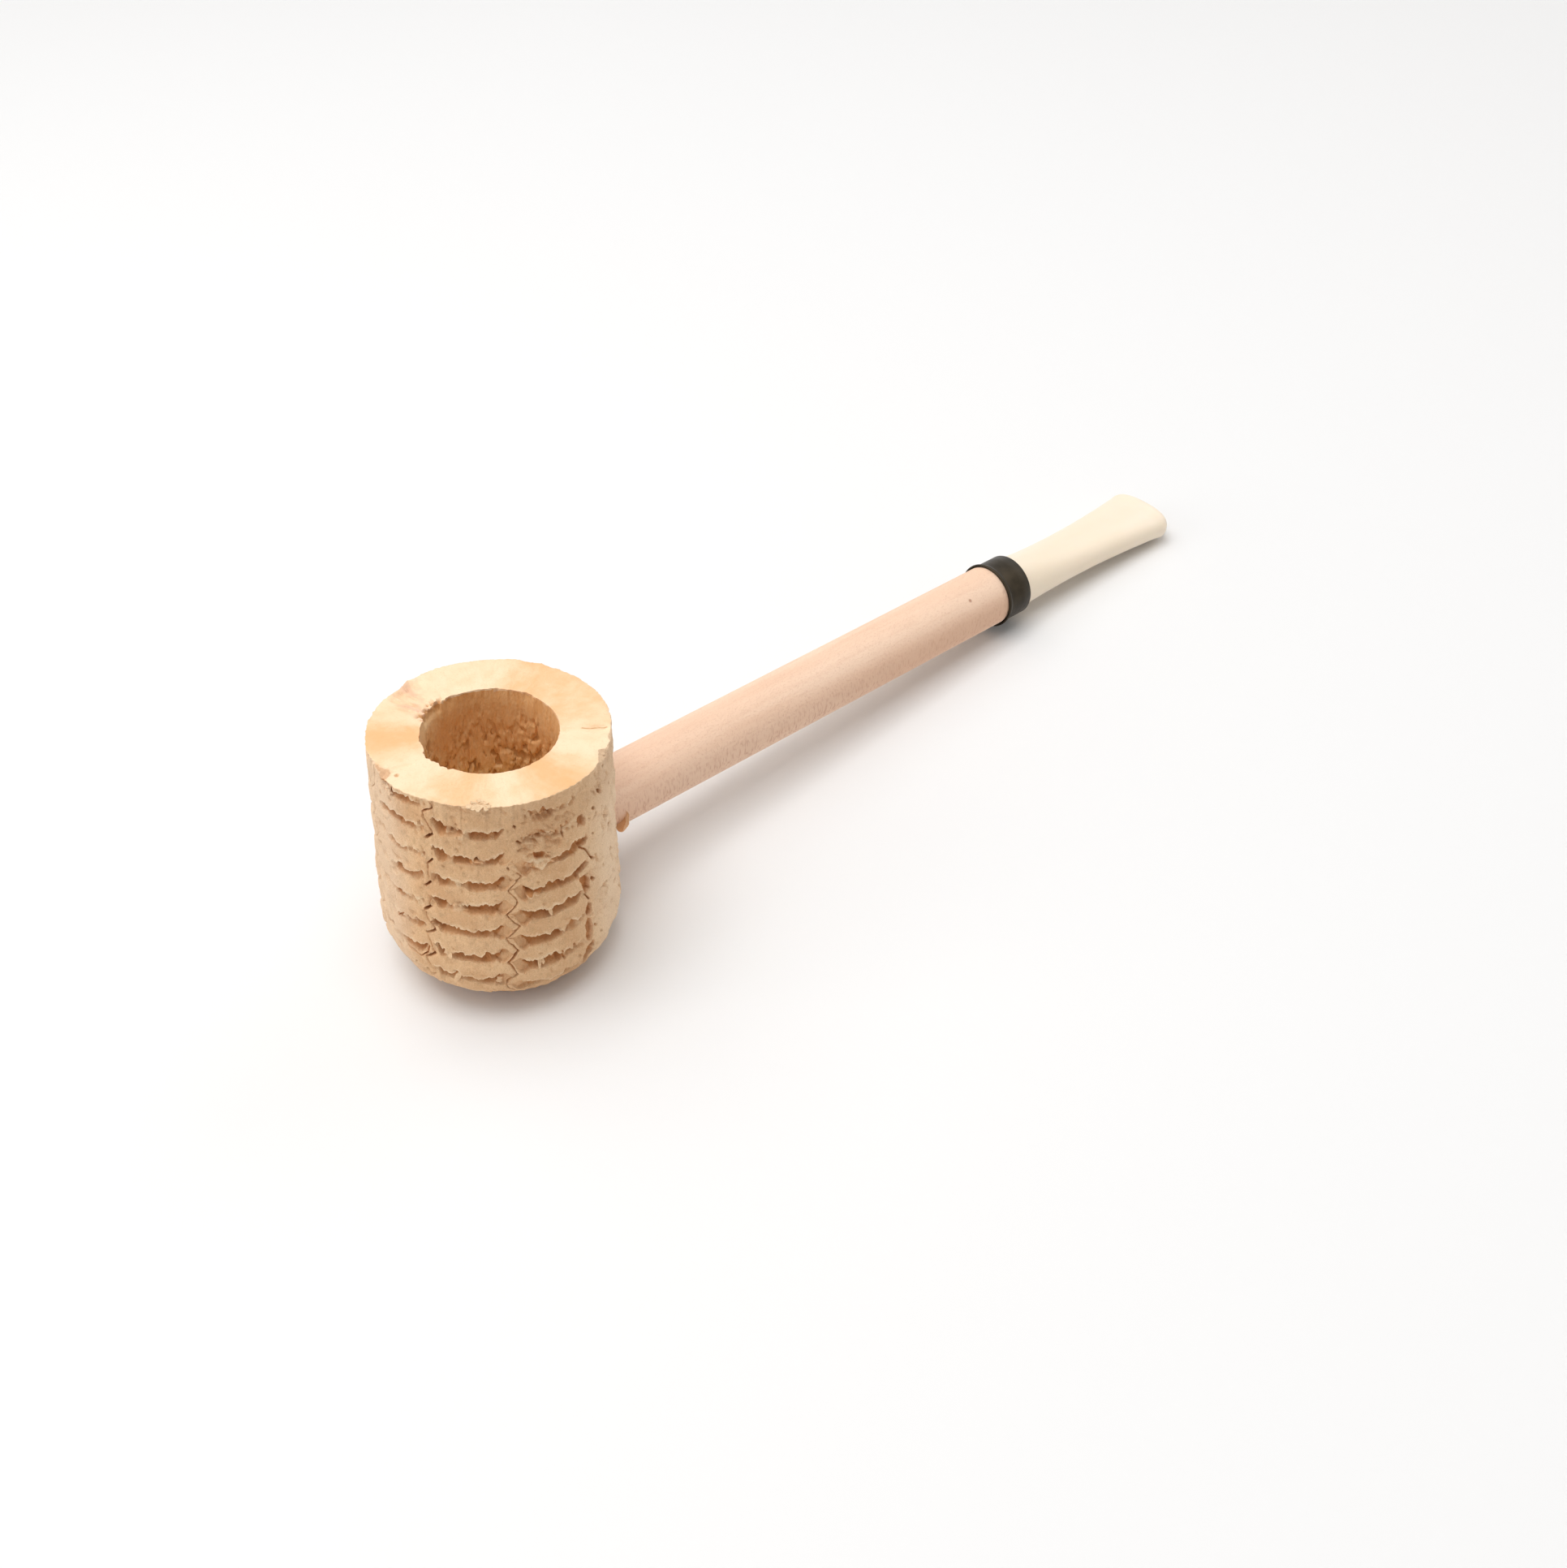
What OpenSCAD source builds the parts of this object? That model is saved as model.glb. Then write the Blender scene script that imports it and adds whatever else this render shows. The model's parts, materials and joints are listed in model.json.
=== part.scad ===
// Corn cob smoking pipe, in millimetres, lying as it rests on a table.
// The bowl stands on the rounded edge of its base and the flat mouthpiece tip touches the floor.
// +Z is up, +X runs along the shank towards the mouthpiece, the floor is z = 0.

/* [Cob bowl] */
// Height of the bowl from its base to the rim
bowl_h = 36.4; // [32:0.2:44]
// Outer diameter at the rim
bowl_top_d = 32.4; // [29:0.2:40]
// How much wider the bowl is low down than at the rim
bowl_swell = 1.2; // [0:0.1:3]
// Rounding from the side into the base
base_round = 8.2; // [5:0.2:10]
// Small sanded edge around the rim
rim_break = 0.4; // [0.2:0.1:1]
// Diameter of the tobacco chamber
chamber_d = 18.2; // [16:0.2:21]
// Depth of the tobacco chamber below the rim
chamber_depth = 28.4; // [27:0.2:30]
// Rounding between chamber wall and floor
chamber_round = 1.8; // [1:0.1:3]

/* [Cob cells] */
// Upright columns of cells around the cob
cell_columns = 9; // [7:1:11]
// Height of one cell, from slot to slot
cell_pitch = 4.28; // [3.6:0.02:5]
// Turn of the first seam from the shank, in degrees
seam_turn = 1.5; // [0:0.5:30]
// Height above the base where the first column of slots starts to be counted
first_slot = 3; // [2:0.1:7]
// Height of the open slot under each chaff plate
slot_h = 1; // [0.6:0.1:1.4]
// Depth of that slot at the middle of its column
slot_depth = 1.5; // [0.8:0.1:2]
// Slope of the slot, rising inwards under the plate, in degrees
slot_tilt = 20; // [0:1:30]
// Radius that the slots are swept with, larger for wider slots
slot_sweep = 14; // [10:0.5:20]
// Width of the zigzag seam between two columns
seam_w = 0.6; // [0.4:0.1:1]
// Depth of that seam
seam_depth = 0.8; // [0.4:0.1:1.2]
// Sideways swing of the seam
seam_swing = 1.2; // [0.6:0.1:1.6]
// Plain band above the base without cells
plain_base = 3; // [2:0.2:4]

/* [Shank] */
// Diameter of the wooden dowel
shank_d = 10; // [9.6:0.1:12]
// Distance from the bowl's axis to the front of the ferrule
shank_reach = 100.5; // [86:0.5:130]
// Height of the shank's axis above the bowl's base
shank_h = 15; // [14:0.2:17]
// Diameter of the draught hole into the chamber
draft_d = 4; // [3:0.1:4.6]

/* [Ferrule] */
// Length of the metal ferrule
ferrule_l = 5.5; // [4.5:0.1:9]
// Thickness of its sheet
ferrule_wall = 0.3; // [0.25:0.05:0.4]
// How far the ferrule stands out from the shank
ferrule_proud = 0.1; // [0.05:0.05:0.2]
// Length of the flared lip over the shank
lip_l = 1; // [0.8:0.1:1.4]
// How far the lip stands out from the ferrule
lip_proud = 0.35; // [0.2:0.05:0.5]
// Length of the ferrule's open mouth past the shank's end
mouth_l = 2; // [1.5:0.1:2.4]

/* [Bit] */
// Length of the mouthpiece outside the ferrule
bit_l = 36.8; // [30:0.2:50]
// Width of the mouthpiece across its tip
bit_tip_w = 13; // [11:0.1:15]
// Thickness of the mouthpiece at its tip
bit_tip_t = 5.2; // [4:0.1:6]
// How late the sides flare out
bit_flare = 2.6; // [1.2:0.1:4]
// How early the top and underside thin down
bit_thin = 3.6; // [1.2:0.1:4.4]
// Length of the rounded end
bit_round = 3.2; // [2:0.1:5]
// Height of the raised lip near the tip, which the teeth hold
button_h = 0.35; // [0:0.05:0.6]
// Length of that lip
button_l = 3.4; // [2.4:0.1:5]
// Length of the tenon inside the shank
tenon_l = 13; // [11:0.5:16]
// Wall of the tenon around the filter
tenon_wall = 0.65; // [0.5:0.05:0.75]
// Diameter of the smoke channel
smoke_d = 3; // [2.4:0.1:3.4]
// Width of the smoke slot in the tip
smoke_slot_w = 6.4; // [4:0.2:8]
// Height of the smoke slot in the tip
smoke_slot_t = 1.5; // [1:0.1:2]

/* [Filter] */
// Outer diameter of the paper filter
filter_d = 6; // [5.6:0.1:6]
// Length of the paper filter
filter_l = 30; // [24:0.5:36]
// Length of the filter that the tenon grips
filter_grip = 9; // [6:0.5:10]
// Thickness of the wrapper paper
wrapper_t = 0.3; // [0.2:0.05:0.5]
// Folds of the pleated core
pleats = 9; // [7:1:12]
// Thickness of the folded core paper
pleat_t = 0.24; // [0.2:0.02:0.3]

/* [Clearances] */
// Gap of glued joints
glue_gap = 0.05; // [0.02:0.01:0.08]
// Radial gap of the push fits that turn and slide
push_gap = 0.05; // [0.03:0.01:0.08]
// Radial gap where pieces pass freely
free_gap = 0.3; // [0.3:0.05:0.4]
// Gap where the bit butts on the shank
seat_gap = 0.1; // [0.05:0.05:0.2]

/* [Hidden] */
$fn = 96;
// Bowl
top_r = bowl_top_d / 2;
low_r = (bowl_top_d + bowl_swell) / 2;
chamber_r = chamber_d / 2;
chamber_floor = bowl_h - chamber_depth;
// Neighbouring columns are shifted by about half a pitch, closing up around the cob
cell_shift = ceil(cell_columns / 2) / cell_columns;
cell_rows = ceil(bowl_h / cell_pitch) + 1;
column_turn = 360 / cell_columns;
// Stations along the shank's axis, measured from the bowl's axis
shank_r = shank_d / 2;
shank_end = shank_reach + ferrule_l - mouth_l;
ferrule_end = shank_reach + ferrule_l;
bit_base = shank_end + seat_gap;
tenon_end = bit_base - tenon_l;
filter_stop = tenon_end + filter_grip;
filter_end = filter_stop - seat_gap;
filter_start = filter_end - filter_l;
tip_end = ferrule_end + bit_l;
// Radii of the nested pieces, from the filter outwards
filter_r = filter_d / 2;
grip_r = filter_r + push_gap;
tenon_r = grip_r + tenon_wall;
socket_r = tenon_r + push_gap;
filter_bore_r = filter_r + free_gap;
ferrule_r = shank_r + ferrule_proud;
ferrule_in_r = ferrule_r - ferrule_wall;
spigot_r = ferrule_in_r - glue_gap;
collar_r = ferrule_in_r - free_gap;
spigot_start = shank_reach + lip_l / 3;

// Form of the mouthpiece between the ferrule (u = 0) and its tip (u = 1)
bit_sides = 48;
bit_steps = 26;
end_steps = 8;
bit_inset = 0.06;
end_u = 1 - bit_round / bit_l;
function bit_x(u) = ferrule_end + bit_l * u;
function end_part(u) = max(0, (u - end_u) / (1 - end_u));
function button_part(u) = max(0, 1 - abs((1 - u) * bit_l - button_l * 0.6) / (button_l * 0.6));
function button_rise(u) = button_h * (1 - cos(180 * button_part(u))) / 2;
function half_w(u) = (collar_r + (bit_tip_w / 2 - collar_r) * pow(u, bit_flare))
    * pow(1 - pow(end_part(u), 2.4), 1 / 2.4);
function half_t(u) = (collar_r + (bit_tip_t / 2 - collar_r) * (1 - pow(1 - u, bit_thin)) + button_rise(u))
    * pow(1 - pow(end_part(u), 3), 1 / 2);
function squareness(u) = 2 / (2 + 0.6 * u);
function bend_in(v, e) = sign(v) * pow(abs(v), e);
bit_u = concat(
    [-0.5 / bit_l],
    [for (k = [1:bit_steps]) end_u * k / bit_steps],
    [for (k = [1:end_steps]) end_u + (1 - end_u) * sin(84 * k / end_steps)]
);
function bit_ring(u, s) = [
    for (k = [0:bit_sides - 1])
        let (a = 360 * k / bit_sides, e = squareness(s))
            [bit_x(u), (half_w(s) - bit_inset) * bend_in(cos(a), e), (half_t(s) - bit_inset) * bend_in(sin(a), e)]
];

// Stance: the pipe leans about Y until the mouthpiece touches the floor with the bowl's base edge
edge_x = low_r - base_round;
under_bit = [for (u = bit_u) [bit_x(u), shank_h - half_t(max(0, u)) + bit_inset]];
function lean_at(p) = atan2(p[1] - base_round, p[0] - edge_x)
    + asin(base_round / norm([p[0] - edge_x, p[1] - base_round]));
lean = min([for (p = under_bit) lean_at(p)]);
back_x = -edge_x * cos(lean) + base_round * sin(lean) - base_round;
front_x = max([for (u = bit_u) bit_x(u) * cos(lean) + (shank_h + half_t(max(0, u))) * sin(lean)]);
floor_z = -edge_x * sin(lean) + base_round * cos(lean) - base_round;

module stance() {
    translate([-(back_x + front_x) / 2, 0, -floor_z])
        rotate([0, lean, 0])
            children();
}

// Everything on the shank is made along Z and then laid along its axis
module along_shank() {
    translate([0, 0, shank_h])
        rotate([0, 90, 0])
            children();
}

// Half section of the bowl's outside, with its skin taken off by d
module outer_section(d) {
    polygon([
        [0, base_round],
        [low_r - d, base_round],
        [top_r - d, bowl_h - rim_break],
        [top_r - d - rim_break, bowl_h],
        [0, bowl_h]
    ]);
    translate([0, d])
        square([low_r - base_round, base_round - d]);
    intersection() {
        translate([low_r - base_round, base_round])
            circle(base_round - d);
        translate([low_r - base_round, 0])
            square(base_round);
    }
}

module chamber_section() {
    translate([0, chamber_floor + chamber_round])
        square([chamber_r, chamber_depth]);
    translate([0, chamber_floor])
        square([chamber_r - chamber_round, chamber_round]);
    intersection() {
        translate([chamber_r - chamber_round, chamber_floor + chamber_round])
            circle(chamber_round);
        translate([chamber_r - chamber_round, chamber_floor])
            square(chamber_round);
    }
}

// Radius of the bowl's outside at height z
function bowl_r(z) = z < base_round
    ? edge_x + sqrt(pow(base_round, 2) - pow(base_round - z, 2))
    : low_r - (low_r - top_r) * (z - base_round) / (bowl_h - base_round);

// Clear of the shank's hole, so that its edge stays whole
function clear_of_shank(turn, z) = abs(z - shank_h) > shank_r + 2
    || cos(turn) * bowl_r(z) < 0
    || abs(sin(turn) * bowl_r(z)) > shank_r + 5;

// One open slot under a chaff plate: a thin disc sweeping into the side, rising inwards
module cell_slot(turn, z) {
    rotate([0, 0, turn])
        translate([bowl_r(z) - slot_depth / 2, 0, z])
            rotate([0, slot_tilt, 0])
                translate([slot_sweep - slot_depth / 2, 0, -slot_h / 2])
                    cylinder(r = slot_sweep, h = slot_h);
}

// One zigzag seam between two columns, as a strip running out from the axis
module seam_strip(turn, z) {
    line = [
        for (k = [0:2 * cell_rows + 1])
            [k % 2 == 0 ? seam_swing : -seam_swing, z + cell_pitch * (floor(k / 2) + (k % 2) * cell_shift)]
    ];
    last = len(line) - 1;
    rotate([0, 0, turn])
        rotate([90, 0, 90])
            linear_extrude(low_r + 1)
                polygon(concat(
                    [for (p = line) [p[0] - seam_w / 2, p[1]]],
                    [for (k = [0:last]) [line[last - k][0] + seam_w / 2, line[last - k][1]]]
                ));
}

function column_shift(i) = i * cell_shift - floor(i * cell_shift);

module cells() {
    for (i = [0:cell_columns - 1]) {
        turn = seam_turn + column_turn * (i + 0.5);
        for (j = [0:cell_rows]) {
            z = first_slot + cell_pitch * (j + column_shift(i));
            if (z > plain_base + 2 && z < bowl_h - 2 && clear_of_shank(turn, z))
                cell_slot(turn, z);
        }
    }
}

module seams() {
    intersection() {
        union() {
            for (i = [0:cell_columns - 1])
                seam_strip(seam_turn + column_turn * (i + 1),
                    first_slot + cell_pitch * (column_shift(i) - 1.5));
        }
        rotate_extrude()
            difference() {
                translate([0, plain_base])
                    square([low_r + 1, bowl_h]);
                outer_section(seam_depth);
                translate([0, bowl_h - rim_break])
                    square([top_r - rim_break - seam_depth, bowl_h]);
            }
    }
}

// Bowl: a length of dried cob, bored out for tobacco and drilled for the shank
module cob_bowl() {
    color([0.85, 0.72, 0.56])
        stance()
            difference() {
                rotate_extrude()
                    difference() {
                        outer_section(0);
                        chamber_section();
                    }
                cells();
                seams();
                along_shank()
                    cylinder(r = shank_r + glue_gap, h = low_r + 1);
            }
}

// Shank: a beech dowel, coped to the chamber wall and turned down for the ferrule
module shank() {
    color([0.91, 0.78, 0.67])
        stance()
            difference() {
                along_shank() {
                    cylinder(r = shank_r, h = spigot_start);
                    cylinder(r = spigot_r, h = shank_end);
                }
                translate([0, 0, -1])
                    cylinder(r = chamber_r, h = bowl_h);
                along_shank() {
                    translate([0, 0, -1])
                        cylinder(r = draft_d / 2, h = shank_end);
                    translate([0, 0, filter_start - 2 * free_gap])
                        cylinder(r = filter_bore_r, h = shank_end);
                    translate([0, 0, tenon_end - 2 * free_gap])
                        cylinder(r = socket_r, h = shank_end);
                }
            }
}

// Ferrule: a thin metal tube with a flared lip, open past the shank's end to guide the bit
module ferrule() {
    color([0.24, 0.22, 0.2])
        stance()
            along_shank()
                rotate_extrude()
                    polygon([
                        [ferrule_in_r, ferrule_end],
                        [ferrule_r, ferrule_end],
                        [ferrule_r, shank_reach + lip_l],
                        [ferrule_r + lip_proud, shank_reach + lip_l * 0.4],
                        [ferrule_r + lip_proud, shank_reach],
                        [ferrule_r + lip_proud - ferrule_wall, shank_reach],
                        [ferrule_r + lip_proud - ferrule_wall, shank_reach + lip_l * 0.4],
                        [ferrule_in_r, shank_reach + lip_l]
                    ]);
}

// Loft of the mouthpiece from its rings
module bit_loft() {
    rings = [for (u = bit_u) bit_ring(u, max(0, u))];
    n = bit_sides;
    m = len(rings);
    points = [for (r = rings) for (p = r) p];
    sides = [
        for (i = [0:m - 2])
            for (k = [0:n - 1])
                [i * n + k, (i + 1) * n + k, (i + 1) * n + (k + 1) % n, i * n + (k + 1) % n]
    ];
    start_cap = [for (k = [0:n - 1]) k];
    end_cap = [for (k = [0:n - 1]) m * n - 1 - k];
    translate([0, 0, shank_h])
        polyhedron(points, concat([start_cap], sides, [end_cap]), convexity = 4);
}

// Bit: the moulded mouthpiece with its tenon, filter seat and smoke channel
module bit() {
    color([0.97, 0.94, 0.86])
        stance()
            difference() {
                union() {
                    bit_loft();
                    along_shank() {
                        translate([0, 0, bit_base])
                            cylinder(r = collar_r, h = ferrule_end - bit_base);
                        translate([0, 0, tenon_end])
                            cylinder(r = tenon_r, h = tenon_l + 0.5);
                    }
                }
                along_shank() {
                    translate([0, 0, tenon_end - 1])
                        cylinder(r = grip_r, h = filter_grip + 1);
                    translate([0, 0, filter_stop - 1])
                        cylinder(r = smoke_d / 2, h = bit_x(0.5) - filter_stop + 1);
                }
                translate([0, 0, shank_h - smoke_slot_t / 2])
                    linear_extrude(smoke_slot_t)
                        polygon([
                            [bit_x(0.5) - 1, -smoke_d / 2],
                            [tip_end + 1, -smoke_slot_w / 2],
                            [tip_end + 1, smoke_slot_w / 2],
                            [bit_x(0.5) - 1, smoke_d / 2]
                        ]);
            }
}

// Filter wrapper: a rolled paper tube
module filter_wrapper() {
    color([0.96, 0.95, 0.92])
        stance()
            along_shank()
                translate([0, 0, filter_start])
                    difference() {
                        cylinder(r = filter_r, h = filter_l);
                        translate([0, 0, -1])
                            cylinder(r = filter_r - wrapper_t, h = filter_l + 2);
                    }
}

function star(r_out, r_in) = [
    for (k = [0:2 * pleats - 1])
        let (r = k % 2 == 0 ? r_out : r_in)
            [r * cos(180 * k / pleats), r * sin(180 * k / pleats)]
];

// Filter pleats: folded paper inside the wrapper, which leaves the smoke a way along each fold
module filter_pleats() {
    fold_out = filter_r - wrapper_t - glue_gap;
    fold_in = filter_r * 0.42;
    color([0.9, 0.88, 0.83])
        stance()
            along_shank()
                translate([0, 0, filter_start + free_gap])
                    linear_extrude(filter_l - 2 * free_gap)
                        difference() {
                            polygon(star(fold_out, fold_in));
                            polygon(star(fold_out - 3.4 * pleat_t, fold_in - 1.4 * pleat_t));
                        }
}

cob_bowl();
shank();
ferrule();
bit();
filter_wrapper();
filter_pleats();
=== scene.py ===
# %% [markdown]
# # A corn cob pipe
# The pipe is a bored length of dried corn cob, a beech dowel, a dark metal ferrule and an ivory
# mouthpiece that holds a paper filter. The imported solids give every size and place. This lesson
# replaces each solid with a richer mesh in the same place, paints it and lights it.

# %% Load the frame
import json
import math

import bpy
import numpy as np
from mathutils import Matrix, Vector


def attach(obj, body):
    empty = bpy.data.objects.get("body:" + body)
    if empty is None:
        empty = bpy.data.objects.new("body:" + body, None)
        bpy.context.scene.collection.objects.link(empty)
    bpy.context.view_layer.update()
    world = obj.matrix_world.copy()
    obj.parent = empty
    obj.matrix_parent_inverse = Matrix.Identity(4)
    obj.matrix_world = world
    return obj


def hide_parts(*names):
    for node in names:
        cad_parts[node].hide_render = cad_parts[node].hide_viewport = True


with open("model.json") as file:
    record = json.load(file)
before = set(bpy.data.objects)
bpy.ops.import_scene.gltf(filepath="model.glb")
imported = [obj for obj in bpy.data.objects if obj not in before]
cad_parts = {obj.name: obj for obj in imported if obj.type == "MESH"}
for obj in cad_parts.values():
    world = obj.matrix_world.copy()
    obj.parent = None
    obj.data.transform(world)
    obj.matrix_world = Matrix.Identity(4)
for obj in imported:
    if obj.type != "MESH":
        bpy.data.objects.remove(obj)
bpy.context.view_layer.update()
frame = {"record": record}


# %% [markdown]
# ## The pipe's own axes
# The pipe rests on its bowl and on the tip of its mouthpiece, so it leans a few degrees. All pieces
# are made upright, in millimetres, with the middle of the bowl's base at zero, Z up the bowl and X
# along the shank. The record's mount on the base says where that is, so nothing is fitted by eye.

# %% Axes of the pipe
mounts = {m["name"]: m for m in frame["record"]["mounts"]}
base_mm = 1000 * np.array(mounts["base"]["pos_m"])
bowl_up = -np.array(mounts["base"]["axis"])
shank_out = np.array((bowl_up[2], 0, -bowl_up[0]))
pipe_axes = np.array((shank_out, (0, 1, 0), bowl_up))
lean = math.atan2(bowl_up[0], bowl_up[2])


def to_room(points):
    """Points on the upright pipe, in mm, as places in the room, in metres."""
    return (base_mm + np.asarray(points, float) @ pipe_axes) / 1000


print("lean in degrees:", round(math.degrees(lean), 2))

# %% [markdown]
# ## Sizes
# These repeat the sizes that the solids were built with, so that each mesh fills its solid's place.

# %% Sizes in mm
BOWL_H, RIM_R, LOW_R, BASE_ROUND = 36.4, 16.2, 16.8, 8.2
MEAN_R = 16.5  # of the bowl's side
BORE_R = mounts["chamber"]["dims"]["r_mm"]
BORE_FLOOR, BORE_ROUND = 8.0, 1.8
SHANK_R, SHANK_H = 5.0, 15.0
FERRULE_FROM, SHANK_END, FERRULE_TO = 100.5, 104.0, 106.0
TENON_FROM, FILTER_FROM, FILTER_TO, TIP_END = 91.1, 70.0, 100.0, 142.8
print("chamber radius:", BORE_R)

# %% [markdown]
# ## Noise for shapes
# Nature is uneven but not random: a bump in the cob has a size. Smooth noise with one bump per unit
# gives that, and a fixed hash in place of a random generator gives the same cob in every run.


# %% Smooth noise
def ease(low, high, x):
    """0 at low, 1 at high, with soft ends; low may be the larger."""
    t = np.clip((x - low) / (high - low), 0, 1)
    return t * t * (3 - 2 * t)


def dice(i, j, seed):
    """An even number from 0 to 1 for each pair of whole numbers; large odd factors stir the bits."""
    i, j = (np.asarray(k).astype(np.int64) for k in (i, j))
    n = (i * 374761393 + j * 668265263 + seed * 1442695041) & 0xFFFFFFFF
    n = ((n ^ (n >> 13)) * 1274126177) & 0xFFFFFFFF
    return ((n ^ (n >> 16)) & 0xFFFFFFFF) / 2.0**32


def bumps(x, y, seed, wrap=None):
    """Noise from 0 to 1 with one bump per unit; wrap closes it around x."""
    i, j = np.floor(x), np.floor(y)
    u, v = ease(0, 1, x - i), ease(0, 1, y - j)

    def corner(a, b):
        return dice(np.mod(a, wrap) if wrap else a, b, seed)

    low = corner(i, j) * (1 - u) + corner(i + 1, j) * u
    high = corner(i, j + 1) * (1 - u) + corner(i + 1, j + 1) * u
    return low * (1 - v) + high * v


SLANT = 0.37  # keeps bumps from standing in upright rows


def around(turn, climb, size, seed, tall=1.0):
    """Bumps of a given size in mm on the bowl; turn in degrees, climb in mm, tall stretches them."""
    count = max(3, round(2 * math.pi * MEAN_R / size))
    return bumps(turn / 360 * count + SLANT * climb / size, climb / (size * tall), seed, count)


print("noise sample:", round(float(bumps(np.array(0.3), np.array(0.7), 1)), 4))

# %% [markdown]
# ## Shader sums as Python
# A finish is a tree of nodes. Wrapping a socket in a small class lets its maths be written as a sum,
# and one method makes any other node: its settings go in first, then the values or links of its
# sockets.


# %% Sockets that add up
class Socket:
    """An output of a node; sums on it add Math nodes."""

    def __init__(self, nodes, output):
        self.nodes, self.output = nodes, output

    def __add__(self, other):
        return self.nodes.maths("ADD", self, other)

    __radd__ = __add__

    def __sub__(self, other):
        return self.nodes.maths("SUBTRACT", self, other)

    def __rsub__(self, other):
        return self.nodes.maths("SUBTRACT", other, self)

    def __mul__(self, other):
        return self.nodes.maths("MULTIPLY", self, other)

    __rmul__ = __mul__

    def __truediv__(self, other):
        return self.nodes.maths("DIVIDE", self, other)

    def between(self, low, high):
        """0 at low, 1 at high, soft at both ends."""
        return self.nodes.node("MapRange", {"interpolation_type": "SMOOTHSTEP", "clamp": True},
                               {"Value": self, "From Min": low, "From Max": high})


class Nodes:
    """A tree of nodes; a kind of node is named without the ShaderNode in front."""

    def __init__(self, tree):
        self.tree = tree

    def node(self, kind, settings=None, sockets=(), out=0):
        made = self.tree.nodes.new("ShaderNode" + kind)
        for key, value in (settings or {}).items():
            if key == "stops":
                ramp = made.color_ramp
                while len(ramp.elements) < len(value):
                    ramp.elements.new(0.5)
                for stop, (position, colour) in zip(ramp.elements, value):
                    stop.position, stop.color = position, (*colour, 1)
            else:
                setattr(made, key, value)
        for key, value in sockets.items() if isinstance(sockets, dict) else enumerate(sockets):
            self.plug(made.inputs[key], value)
        return Socket(self, made.outputs[out])

    def plug(self, socket, value):
        if isinstance(value, Socket):
            self.tree.links.new(value.output, socket)
        else:
            socket.default_value = value

    def maths(self, operation, *values):
        return self.node("Math", {"operation": operation}, values)

    def vector(self, operation, *values, out=0):
        return self.node("VectorMath", {"operation": operation}, values, out)


def srgb(*levels):
    """A colour read as 0 to 255 on a screen, as the linear light that shaders use."""
    return tuple(round(((v / 255 + 0.055) / 1.055) ** 2.4 if v > 10 else v / 255 / 12.92, 4) for v in levels)


print("mid grey as light:", srgb(128, 128, 128))

# %% [markdown]
# ## A finish
# A finish is one Principled shader. Its textures are solid and live in the axes of the upright pipe,
# so a grain has a size in millimetres and runs on from piece to piece. The colour is built as a
# painter does it: a ground of two colours, then tints laid over it, each as far as a mask says.


# %% Finish with a ground and tints
class Finish(Nodes):
    """A material with one Principled shader, whose texture space is the upright pipe in mm."""

    def __init__(self, name, **shader):
        self.material = bpy.data.materials.new(name)
        self.material.use_nodes = True
        super().__init__(self.material.node_tree)
        self.shader = next(n for n in self.tree.nodes if n.type == "BSDF_PRINCIPLED")
        self.set(**shader)
        room = self.node("TexCoord", out="Object")
        moved = self.vector("SUBTRACT", room, tuple(base_mm / 1000))
        upright = self.node("VectorRotate", {"rotation_type": "Y_AXIS"}, {"Vector": moved, "Angle": -lean})
        self.place = self.node("VectorMath", {"operation": "SCALE"}, {0: upright, "Scale": 1000})
        self.x, self.y, self.z = (self.node("SeparateXYZ", None, (self.place,), out=k) for k in range(3))

    def set(self, **values):
        for key, value in values.items():
            self.plug(self.shader.inputs[key.replace("_", " ")], value)

    def noise(self, size, stretch=(1, 1, 1), detail=2.0, at=None):
        """Noise from 0 to 1 with grains of size mm, drawn out by stretch."""
        scale = tuple(1 / (size * s) for s in stretch)
        spread = self.vector("MULTIPLY", at or self.place, scale)
        return self.node("TexNoise", {"noise_dimensions": "3D"},
                         {"Vector": spread, "Scale": 1.0, "Detail": detail, "Roughness": 0.55})

    def kept(self, name):
        """A value that the mesh keeps on its points."""
        return self.node("Attribute", {"attribute_name": name}, out="Fac")

    def away_from(self, *point):
        """Distance in mm from a point on the upright pipe."""
        return self.vector("DISTANCE", self.place, point, out="Value")

    def mix(self, part, first, second):
        """The first colour where part is 0, the second where it is 1."""
        first, second = (c if isinstance(c, Socket) else (*srgb(*c), 1) for c in (first, second))
        return self.node("Mix", {"data_type": "RGBA", "clamp_factor": True},
                         {0: part, 6: first, 7: second}, out=2)

    def ground(self, part, first, second):
        self.colour = self.mix(part, first, second)

    def tint(self, part, colour):
        self.colour = self.mix(part, self.colour, colour)

    def relief(self, height, depth, under=None):
        """Bump of depth mm from a height of 0 to 1."""
        sockets = {"Height": height, "Strength": 1.0, "Distance": depth / 1000}
        if under is not None:
            sockets["Normal"] = under
        return self.node("Bump", None, sockets)

    def done(self, roughness, normal):
        self.set(Base_Color=self.colour, Roughness=roughness, Normal=normal)
        print("finish:", self.material.name, "nodes:", len(self.tree.nodes))


# %% [markdown]
# ## Pieces from rings
# Every piece of this pipe is round or nearly so. A piece is a stack of rings of points, joined by
# four-sided faces, and closed by caps or by joining the last ring to the first. Going round from
# outside to inside gives a true closed solid with its bores.


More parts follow.
